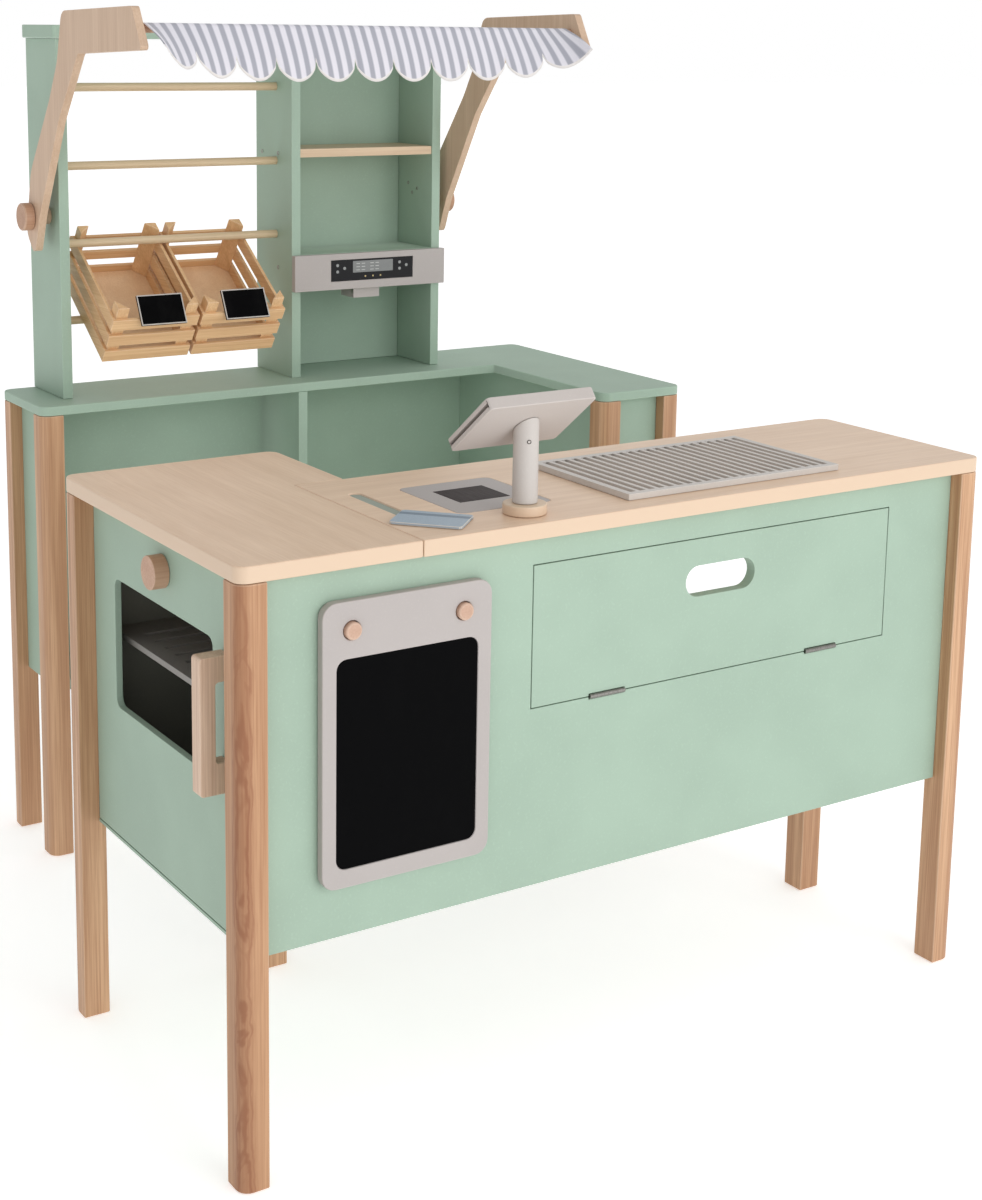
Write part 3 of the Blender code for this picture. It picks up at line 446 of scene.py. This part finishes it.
# Payment reader. A beech disc screwed to the worktop, a turned and painted post in it that swivels,
# and a slanted grey head with a slot for the card along its left edge and a dark screen on top.
base_ply = plywood("birch_reader_base", colour(222, 202, 176), birch_dark, "X", (0.9, 0.4, 0))
finished("pos_base", "lacquered", base_ply, 0.0012, 3)
post_paint = painted("reader_post_paint", colour(196, 190, 185), 0.5, 0.08, 0.03)
finished("pos_post", "painted", post_paint, 0.0010, 3)
head_paint = painted("reader_head_paint", colour(192, 184, 179), 0.5, 0.08, 0.03)
finished("pos_head", "painted", head_paint, 0.0014, 3)


def gloss(name, tone, rough=0.12):
    """Glossy dark film with the fine scratches of use."""
    material, tree, shader = shader_of(name)
    scratch = pattern(tree, "ShaderNodeTexNoise", (1200, 40, 1200), turn=(0, 0, 0.7), Scale=1.0, Detail=3.0)
    paler = tuple(min(1, c * 1.6 + 0.01) for c in tone[:3]) + (1,)
    scratched = blended(tree, ranged(tree, scratch, 0.60, 0.75, 0, 0.6), tone, paler)
    tree.links.new(scratched, shader.inputs["Base Color"])
    tree.links.new(ranged(tree, scratch, 0.45, 0.75, rough, rough + 0.2), shader.inputs["Roughness"])
    shader.inputs["Specular IOR Level"].default_value = 0.22
    bumped(tree, shader, scratch, 0.02, 0.0001)
    return material


# Places are measured from the set's outer front corner, and its middle lies this far from there.
middle_x, middle_y = 0.42125, 0.43285
head_place = Matrix.Translation((0.2995 - middle_x, 0.0400 - middle_y, 0.6350))
head_turn = head_place @ Matrix.Rotation(math.radians(-38), 4, "X")
screen_film = gloss("screen_film", colour(34, 36, 40))
screen = box_mesh((-0.0462, -0.0297, 0.00475), (0.0462, 0.0297, 0.00545))
bevelled(screen, screen.edges[:], 0.0002, 2)
bmesh.ops.transform(screen, matrix=head_turn, verts=screen.verts)
piece("reader_screen", screen, screen_film, "pos_reader")


def screw_head(name, centre, facing, radius, body, tone=colour(150, 146, 140)):
    """A countersunk screw head: a low disc with a stepped recess, its face towards an axis."""
    bm = bmesh.new()
    rim, depth = radius * 0.94, radius * 0.35
    bmesh.ops.create_cone(bm, cap_ends=True, segments=24, radius1=radius, radius2=rim, depth=depth)
    top = max(bm.faces, key=lambda f: f.calc_center_median().z)
    bmesh.ops.inset_individual(bm, faces=[top], thickness=radius * 0.25, depth=-radius * 0.05)
    bmesh.ops.inset_individual(bm, faces=[top], thickness=radius * 0.30, depth=-radius * 0.22)
    turn = Vector(facing).to_track_quat("Z", "Y").to_matrix().to_4x4()
    bmesh.ops.transform(bm, matrix=Matrix.Translation(centre) @ turn, verts=bm.verts)
    return piece(name, bm, steel(f"{name}_steel", tone), body)


post_low, post_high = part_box("pos_post")
post_mid = (post_low + post_high) / 2
post_screw = (post_mid.x - 0.004, post_low.y + 0.0009, 0.617)
screw_head("reader_post_screw", post_screw, (-0.35, -1, 0), 0.0021, "pos_reader", colour(84, 80, 76))


# Scanner. A thin grey painted plate let flush into the worktop, in a pocket that the router cuts.
# A dark window of polished plastic is let into the plate and glued.
finished("scanner_plate", "painted", grey_paint, 0.0005)
scanner_film = gloss("scanner_film", colour(58, 50, 50), 0.45)
scanner_film.node_tree.nodes["Principled BSDF"].inputs["Specular IOR Level"].default_value = 0.08
finished("scanner_glass", "polished", scanner_film, 0.0002)


# Payment card. A loose card of thin board, with its corners rounded and its edge left pale.
# It is printed blue-grey, with one darker stripe across it.
def card_print(name, turn):
    """Flecked ink on board, with a stripe that follows the card's own turn on the worktop."""
    material, tree, shader = shader_of(name)
    fleck = pattern(tree, "ShaderNodeTexNoise", (1, 1, 1), Scale=900.0, Detail=3.0)
    where = tree.nodes.new("ShaderNodeTexCoord")
    mapping = tree.nodes.new("ShaderNodeMapping")
    mapping.vector_type = "TEXTURE"
    mapping.inputs["Location"].default_value = (0.2139 - middle_x, 0.0518 - middle_y, 0)
    mapping.inputs["Rotation"].default_value = (0, 0, turn)
    split = tree.nodes.new("ShaderNodeSeparateXYZ")
    tree.links.new(where.outputs["Object"], mapping.inputs["Vector"])
    tree.links.new(mapping.outputs["Vector"], split.inputs["Vector"])
    above = ranged(tree, split.outputs["Y"], 0.0068, 0.0071, 0, 1)
    below = ranged(tree, split.outputs["Y"], 0.0148, 0.0145, 0, 1)
    striped = worked(tree, "MULTIPLY", above, below)
    base = blended(tree, ranged(tree, fleck, 0.4, 0.7, 0, 0.3), colour(164, 180, 194), colour(148, 164, 178))
    tone = blended(tree, striped, base, colour(118, 134, 150))
    tone = blended(tree, rounded_edge_share(tree), tone, colour(206, 204, 198))
    tree.links.new(tone, shader.inputs["Base Color"])
    tree.links.new(ranged(tree, fleck, 0.3, 0.7, 0.38, 0.5), shader.inputs["Roughness"])
    bumped(tree, shader, fleck, 0.06, 0.0002)
    return material


finished("payment_card", "printed", card_print("card_print", math.radians(-47)), 0.0006, 2)


# Serving grate. A loose slatted tray of board that lies on the worktop over the serving flap.
# Its slots are routed through, and it is sprayed a pale warm grey all over.
grate_paint = painted("grate_paint", colour(208, 202, 196), 0.5, 0.12, 0.05)
finished("serving_grate", "painted", grate_paint, 0.0007)


# Back counter. The same posts under one green board with rounded corners, and green panels between them.
# Its left part is open at the front, with a floor and a divider; the wing on the right is closed.
for count, at in enumerate(("near_left", "far_left", "wing_left", "wing_right", "far_right")):
    shift = (count * 1.3 + 5, count * 0.7, count * 0.5)
    heart = (pine_heart, 0.64, 0.80)
    post = wood(f"pine_back_{at}", pine_pale, pine_dark, "Z", 0.55, 0.6, shift, heart=heart)
    finished(f"back_leg_{at}", "lacquered", post, 0.0012, 3)
finished("back_worktop", "painted", sage_paint, 0.0014, 3)
for node in ("back_carcass", "back_wing_inner_panel", "back_wing_front_panel", "back_wing_outer_panel"):
    finished(node, "painted", sage_paint, 0.0005)


# Rod rack and tower. Green boards stand on the back worktop and carry a green roof board.
# Four beech rods are glued into blind holes between the post board and the tower.
# One lacquered shelf is let into the tower, and screws hold the sides together.
for node in ("post_board", "tower_left_board", "tower_right_board", "tower_back"):
    finished(node, "painted", sage_paint, 0.0008, 3)
finished("roof_board", "painted", sage_paint, 0.0022, 4)
shelf_tones = colour(220, 196, 166), colour(190, 158, 126)
shelf_wood = wood("beech_shelf", *shelf_tones, "X", 0.35, 0.4, (1.5, 0.4, 0.2))
finished("tower_wood_shelf", "lacquered", shelf_wood, 0.0008)
rod_tones = colour(224, 202, 168), colour(186, 158, 122)
for rod in range(1, 5):
    rod_wood = wood(f"beech_rod_{rod}", *rod_tones, "X", 0.35, 0.5, (rod * 0.9, rod * 0.3, 0))
    finished(f"rack_rod_{rod}", "lacquered", rod_wood, 0.0003)
for board, tag, radius, places in (
    ("tower_left_board", "tower_screw", 0.0026, ((0.842, 0.822), (0.799, 0.822), (0.800, 0.680))),
    ("tower_right_board", "tower_screw_inside", 0.0022, ((0.800, 0.772), (0.822, 0.778), (0.812, 0.766))),
):
    face_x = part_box(board)[0].x - 0.0001
    for count, (y, z) in enumerate(places):
        screw_head(f"{tag}_{count}", (face_x, y - middle_y, z), (-1, 0, 0), radius, "counters")


# Control panel of the coffee machine. A grey board across the tower with a square spout under it.
# A black film display is let into it: a pale number window, plain round keys and three lamps.
finished("control_panel", "painted", grey_paint, 0.0012, 3)
finished("control_display", "glossed", gloss("display_film", colour(24, 24, 27)), 0.0003)
show_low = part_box("control_display")[0]
ink_y0, ink_y1 = show_low.y - 0.00012, show_low.y + 0.0003


def printed(name, tone):
    """Matt ink on film."""
    material, tree, shader = shader_of(name)
    grit = pattern(tree, "ShaderNodeTexNoise", (1, 1, 1), Scale=1600.0, Detail=2.0)
    darker = tuple(c * 0.85 for c in tone[:3]) + (1,)
    gritty = blended(tree, ranged(tree, grit, 0.45, 0.7, 0, 0.5), tone, darker)
    tree.links.new(gritty, shader.inputs["Base Color"])
    tree.links.new(ranged(tree, grit, 0.3, 0.7, 0.35, 0.5), shader.inputs["Roughness"])
    return material


def ink_patch(name, x0, x1, z0, z1, material, corner=0.0004):
    """A thin rounded patch of ink on the film."""
    bm = box_mesh((x0 - middle_x, ink_y0, z0), (x1 - middle_x, ink_y1, z1))
    ends = [e for e in bm.edges if abs(e.verts[0].co.y - e.verts[1].co.y) > 0.0001]
    bevelled(bm, ends, corner, 4)
    piece(name, bm, material, "counters")


window_ink = printed("ink_pale_window", colour(128, 130, 130))
key_ink = printed("ink_key", colour(150, 152, 152))
lamp_ink = printed("ink_lamp", colour(190, 170, 120))
ink_patch("display_window", 0.5340, 0.5920, 0.6735, 0.6880, window_ink)
bar_long, bar_thick = 0.0050, 0.0008
for count, x in enumerate((0.5390, 0.5465, 0.5590, 0.5665)):
    pale_film = gloss(f"figure_film_{count}", colour(196, 198, 196), 0.3)
    for bar, z in enumerate((0.6762, 0.6802, 0.6842)):
        low = (x - middle_x, ink_y0 - 0.0001, z)
        high = (x + bar_long - middle_x, ink_y0 + 0.0001, z + bar_thick)
        piece(f"figure_{count}_bar_{bar}", box_mesh(low, high), pale_film, "counters")
key_half, lamp_half, lamp_z = 0.0019, 0.0011, 0.6683
left_keys = ((0.5120, 0.6835), (0.5120, 0.6755), (0.5220, 0.6795))
right_keys = ((0.6020, 0.6835), (0.6020, 0.6755), (0.6120, 0.6795))
for count, (x, z) in enumerate(left_keys + right_keys):
    sides = (x - key_half, x + key_half, z - key_half, z + key_half)
    ink_patch(f"display_key_{count}", *sides, key_ink, 0.0017)
for count, x in enumerate((0.5520, 0.5630, 0.5740)):
    sides = (x - lamp_half, x + lamp_half, lamp_z - lamp_half, lamp_z + lamp_half)
    ink_patch(f"display_lamp_{count}", *sides, lamp_ink, 0.0010)


# Crates. Each has three thin pine slats a side, pinned to four triangular corner posts, and a thin floor.
# They tip forward on the third rod, with their rear wall against the fourth, as in a shop display.
crate_tilt, crate_w, crate_d = math.radians(35), 0.1085, 0.1550
slat_h, slat_step, slat_t = 0.016, 0.024, 0.004
post_w, post_foot, post_top, rod_gap = 0.015, 0.0034, 0.079, 0.0053
side_top = 2 * slat_step + slat_h
forward = Vector((0, -math.cos(crate_tilt), -math.sin(crate_tilt)))
upward = Vector((0, -math.sin(crate_tilt), math.cos(crate_tilt)))
rod_mid = sum(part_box("rack_rod_3"), Vector()) / 2
hook = forward * (slat_t + post_w + rod_gap) + upward * (side_top + rod_gap)
heel = Vector((0, rod_mid.y, rod_mid.z)) - hook
crate_axes = Matrix((Vector((1, 0, 0)), forward, upward)).transposed().to_4x4()


def crate_part(name, bm, place, material, crate, nodes=()):
    """A part made upright at the crate's heel, then eased, tipped and hung in its place."""
    ease_edges(bm, 0.0010 if "post" in name else 0.0006)
    bmesh.ops.transform(bm, matrix=place, verts=bm.verts)
    piece(f"{crate}_{name}", bm, material, crate, nodes)


def corner_post(x, y, to_x, to_y):
    """A three-sided post that stands in a corner, its two square sides towards to_x and to_y."""
    bm = bmesh.new()
    foot = [(x, y, post_foot), (x + to_x * post_w, y, post_foot), (x, y + to_y * post_w, post_foot)]
    raised = bmesh.ops.extrude_face_region(bm, geom=[bm.faces.new([bm.verts.new(at) for at in foot])])
    tops = [v for v in raised["geom"] if isinstance(v, bmesh.types.BMVert)]
    bmesh.ops.translate(bm, verts=tops, vec=(0, 0, post_top - post_foot))
    bmesh.ops.recalc_face_normals(bm, faces=bm.faces)
    return bm


slat_tones = colour(238, 198, 150), colour(192, 142, 94)
floor_tones = colour(238, 206, 168), colour(212, 170, 128)
lean = (crate_tilt, 0, 0)
for side, x0 in (("left", 0.1900), ("right", 0.3025)):
    place = Matrix.Translation(heel + Vector((x0 - middle_x, 0, 0))) @ crate_axes
    crate = f"crate_{side}"
    far_x, far_y = crate_w - slat_t, crate_d - slat_t
    floor_ply = wood(f"ply_{crate}", *floor_tones, "Y", 0.3, 0.4, (x0 * 9, 0.3, 0.8), lean)
    bottom = box_mesh((slat_t, slat_t, 0.0003), (far_x, far_y, 0.0033))
    crate_part("floor", bottom, place, floor_ply, crate, [crate])
    for row in range(3):
        z0, z1 = row * slat_step, row * slat_step + slat_h
        shift = (row * 1.1, x0 * 7, row * 0.6)
        cross = wood(f"slat_cross_{crate}_{row}", *slat_tones, "X", 0.45, 0.5, shift, lean)
        shift = (row * 0.8, x0 * 5, row * 0.9)
        long = wood(f"slat_long_{crate}_{row}", *slat_tones, "Y", 0.45, 0.5, shift, lean)
        for wall, low, high, slat_wood in (
            ("rear", (0, 0, z0), (crate_w, slat_t, z1 - 0.0035), cross),
            ("front", (0, far_y, z0), (crate_w, crate_d, z1), cross),
            ("left", (0.0002, slat_t, z0), (slat_t, far_y, z1), long),
            ("right", (far_x, slat_t, z0), (crate_w - 0.0002, far_y, z1), long),
        ):
            crate_part(f"{wall}_slat_{row}", box_mesh(low, high), place, slat_wood, crate)
    corner_wood = wood(f"corner_{crate}", *slat_tones, "Z", 0.4, 0.5, (x0 * 3, 0.1, 0.4), lean)
    corners = ((slat_t, slat_t, 1, 1), (far_x, slat_t, -1, 1), (slat_t, far_y, 1, -1), (far_x, far_y, -1, -1))
    for count, stands in enumerate(corners):
        crate_part(f"corner_post_{count}", corner_post(*stands), place, corner_wood, crate)


# Crate labels. Small chalk plates on a clip that is pushed over the crate's front slat.
# Each has a thin pale painted frame glued round its face.
label_black = chalkboard("label_chalkboard", 0.10)
rim_paint = painted("label_rim_paint", colour(196, 190, 184), 0.5)
front_edge = heel + forward * crate_d + upward * side_top
half, foot, head, rim_w = 0.02825, -0.0085, 0.0282, 0.0013
for side, x_mid in (("left", 0.2505), ("right", 0.3580)):
    finished(f"crate_label_{side}", "chalked", label_black, 0.0005)
    top_rail = Matrix.Translation((x_mid - middle_x, front_edge.y - 0.0008, front_edge.z))
    leant = top_rail @ Matrix.Rotation(math.radians(-27), 4, "X")
    rim = bmesh.new()
    for x0, x1, z0, z1 in (
        (-half, half, foot, foot + rim_w),
        (-half, half, head - rim_w, head),
        (-half, rim_w - half, foot + rim_w, head - rim_w),
        (half - rim_w, half, foot + rim_w, head - rim_w),
    ):
        middle = Vector(((x0 + x1) / 2, -0.0031, (z0 + z1) / 2))
        place = leant @ Matrix.Translation(middle) @ Matrix.Diagonal((x1 - x0, 0.0008, z1 - z0, 1))
        bmesh.ops.create_cube(rim, size=1, matrix=place)
    piece(f"crate_label_{side}_rim", rim, rim_paint, f"crate_{side}")


# Awning arms. Sawn from flat beech board, rounded over, with a turned spacer against the rack.
# A beech knob with a threaded stud clamps each arm, so that the awning can be tilted and kept there.
arm_tones = colour(212, 184, 158), colour(182, 148, 120)
clamp_tones = colour(190, 150, 122), colour(158, 114, 86)
for side, away in (("left", 0.3), ("right", 1.9)):
    arm_wood = wood(f"beech_arm_{side}", *arm_tones, "Z", 0.35, 0.45, (away, away, 0.4), turn=(0.5, 0, 0))
    finished(f"awning_arm_{side}", "lacquered", arm_wood, 0.0012, 3)
    clamp_wood = wood(f"beech_clamp_{side}", *clamp_tones, "X", 0.3, 0.45, (away, 0.8, 0.1))
    finished(f"awning_clamp_{side}", "lacquered", clamp_wood, 0.0020, 4)
rod_wood = wood("beech_awning_rod", beech_pale, beech_dark, "X", 0.35, 0.5, (0.4, 0.8, 0))
finished("awning_rod", "lacquered", rod_wood, 0.0003)


# Awning cloth. One strip of striped cotton, sewn into a sleeve over the rod, cut in scallops below
# and bound with a narrow pale tape. It hangs in front of the rod and flares forward at both ends.
cloth_x0, cloth_x1, cloth_y, cloth_z = 0.1460 - middle_x, 0.6720 - middle_x, 0.5050 - middle_y, 0.9715
cloth_r, scallops, scallop_deep, drop = 0.0053, 11, 0.023, 0.0575
stripe_step, tape_w, tuck = 0.01293, 0.0031, math.radians(40)
columns, wrap_rows, fall_rows = 264, 8, 16
bm = bmesh.new()
bmesh.ops.create_grid(bm, x_segments=columns, y_segments=wrap_rows + fall_rows, size=0.5)
uv = bm.loops.layers.uv.new("cut")
to_hem = bm.verts.layers.float.new("to_hem")
flat_at = {}
bm.verts.ensure_lookup_table()
for vert in bm.verts:
    u = round((vert.co.x + 0.5) * columns) / columns
    row = round((vert.co.y + 0.5) * (wrap_rows + fall_rows))
    along = 2 * u - 1
    slope = math.asin(min(0.95, (0.020 + 0.035 * abs(along) ** 4) / drop))
    ripple = 0.0011 * math.sin(2 * math.pi * scallops * u + 0.7) + 0.0006 * math.sin(61 * u + 2)
    start, first = math.pi - slope, -tuck
    inside = 0.5 < scallops * u < scallops - 0.5
    wave = abs(math.sin(math.pi * scallops * u)) ** 0.45 if inside else 1
    length = drop - scallop_deep + scallop_deep * wave
    x = cloth_x0 + (cloth_x1 - cloth_x0) * u
    if row <= wrap_rows:
        turn = first + (start - first) * row / wrap_rows
        vert.co = (x, cloth_y + cloth_r * math.cos(turn), cloth_z + cloth_r * math.sin(turn))
        flat_at[vert.index] = (x, -cloth_r * (start - turn))
        vert[to_hem] = length
    else:
        share = (row - wrap_rows) / fall_rows
        reach = length * share
        swing = slope - 0.10 * share * share
        away = ripple * share ** 1.5
        y = cloth_y - cloth_r * math.cos(slope) - math.sin(swing) * reach - away * math.cos(swing)
        z = cloth_z + cloth_r * math.sin(slope) - math.cos(swing) * reach + away * math.sin(swing)
        vert.co = (x, y, z)
        flat_at[vert.index] = (x, reach)
        vert[to_hem] = length - reach
for face in bm.faces:
    for loop in face.loops:
        loop[uv].uv = flat_at[loop.vert.index]
cloth_area = sum(face.calc_area() for face in bm.faces)

cotton, tree, shader = shader_of("striped_cotton")
cut = tree.nodes.new("ShaderNodeUVMap")
cut.uv_map = "cut"
split = tree.nodes.new("ShaderNodeSeparateXYZ")
tree.links.new(cut.outputs["UV"], split.inputs["Vector"])
slant = worked(tree, "MULTIPLY_ADD", split.outputs["Y"], -0.12, split.outputs["X"])
rise = worked(tree, "SINE", worked(tree, "MULTIPLY", slant, 2 * math.pi / stripe_step))
stripe = ranged(tree, rise, -0.35, 0.45, 0, 1)


def threads(direction, scale):
    """The threads of the weave that lie across a direction of the cut cloth."""
    thread = tree.nodes.new("ShaderNodeTexWave")
    thread.bands_direction = direction
    thread.inputs["Scale"].default_value = scale
    thread.inputs["Distortion"].default_value = 1.2
    thread.inputs["Detail"].default_value = 1.0
    tree.links.new(cut.outputs["UV"], thread.inputs["Vector"])
    return thread.outputs["Fac"]


weave = worked(tree, "ADD", threads("X", 420.0), threads("Y", 420.0))
tone = blended(tree, stripe, colour(232, 230, 238), colour(170, 171, 182))
tone = blended(tree, ranged(tree, weave, 0.6, 1.6, 0, 0.16), tone, colour(150, 150, 158))
hem = tree.nodes.new("ShaderNodeAttribute")
hem.attribute_name = "to_hem"
taped = ranged(tree, hem.outputs["Fac"], tape_w + 0.0003, tape_w - 0.0003, 0, 1)
tone = blended(tree, taped, tone, colour(232, 228, 226))
tree.links.new(tone, shader.inputs["Base Color"])
tree.links.new(ranged(tree, weave, 0.5, 1.6, 0.85, 0.97), shader.inputs["Roughness"])
shader.inputs["Sheen Weight"].default_value = 0.25
shader.inputs["Sheen Roughness"].default_value = 0.5
bumped(tree, shader, weave, 0.35, 0.0003)
mesh = bpy.data.meshes.new("awning_cloth_sewn")
bmesh.ops.recalc_face_normals(bm, faces=bm.faces)
bm.to_mesh(mesh)
bm.free()
mesh.shade_smooth()
mesh.materials.append(cotton)
cloth = bpy.data.objects.new("awning_cloth_sewn", mesh)
bpy.context.scene.collection.objects.link(cloth)
thick = cloth.modifiers.new("cloth thickness", "SOLIDIFY")
thick.thickness = 0.0009
thick.offset = 0
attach(cloth, "awning")
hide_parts("awning_cloth")


# Studio. A pale matt floor and an even white surround, a little dimmer above and on the left.
# One large soft light stands on the customer's side, and a weak one on the left.
bm = bmesh.new()
bmesh.ops.create_grid(bm, x_segments=1, y_segments=1, size=30)
floor_mesh = bpy.data.meshes.new("studio_floor")
bm.to_mesh(floor_mesh)
bm.free()
floor = bpy.data.objects.new("studio_floor", floor_mesh)
bpy.context.scene.collection.objects.link(floor)
floor.location = (0, 0, -0.0005)
floor_paint, tree, shader = shader_of("studio_floor_paint")
grit = pattern(tree, "ShaderNodeTexNoise", (1, 1, 1), Scale=40.0, Detail=3.0)
tree.links.new(blended(tree, grit, colour(250, 250, 250), colour(246, 246, 246)), shader.inputs["Base Color"])
shader.inputs["Roughness"].default_value = 0.9
shader.inputs["Emission Color"].default_value = (1, 1, 1, 1)
shader.inputs["Emission Strength"].default_value = 0.42
floor_mesh.materials.append(floor_paint)

world = bpy.data.worlds.new("studio")
bpy.context.scene.world = world
world.use_nodes = True
tree = world.node_tree
backdrop = tree.nodes["Background"]
backdrop.inputs["Color"].default_value = (1, 1, 1, 1)
around = tree.nodes.new("ShaderNodeTexCoord")
split = tree.nodes.new("ShaderNodeSeparateXYZ")
tree.links.new(around.outputs["Generated"], split.inputs["Vector"])
overhead = ranged(tree, split.outputs["Z"], 0.20, 0.75, 1.0, 0.74)
shade_side = ranged(tree, split.outputs["X"], -0.85, -0.10, 0.50, 1.0)
tree.links.new(worked(tree, "MULTIPLY", overhead, shade_side), backdrop.inputs["Strength"])
bpy.context.scene.view_settings.view_transform = "Standard"


def soft_light(name, place, size, power):
    """A square light turned to the middle of the set."""
    data = bpy.data.lights.new(name, "AREA")
    data.shape = "SQUARE"
    data.size = size
    data.energy = power
    light = bpy.data.objects.new(name, data)
    bpy.context.scene.collection.objects.link(light)
    light.location = place
    light.rotation_euler = (set_middle - Vector(place)).to_track_quat("-Z", "Y").to_euler()


set_middle = Vector((0, 0, 0.45))
soft_light("key light", (0.5, -3.0, 1.25), 2.0, 24)
soft_light("fill light", (-2.4, -2.0, 1.2), 2.2, 5)

camera_data = bpy.data.cameras.new("camera")
camera = bpy.data.objects.new("camera", camera_data)
bpy.context.scene.collection.objects.link(camera)
camera_data.lens, camera_data.shift_x, camera_data.shift_y = 57.8175, 0.047775, -0.180667
heading, dip, roll = 0.56, 0.1794, 0.0117
look = Vector((math.sin(heading) * math.cos(dip), math.cos(heading) * math.cos(dip), -math.sin(dip)))
across = Vector((math.cos(heading), -math.sin(heading), 0))
over = across.cross(look)
across, over = (
    math.cos(roll) * across + math.sin(roll) * over,
    -math.sin(roll) * across + math.cos(roll) * over,
)
stand = Matrix((across, over, -look)).transposed().to_4x4()
stand.translation = Vector((-1.07635, -1.76785, 0.9695))
camera.matrix_world = stand
bpy.context.scene.camera = camera
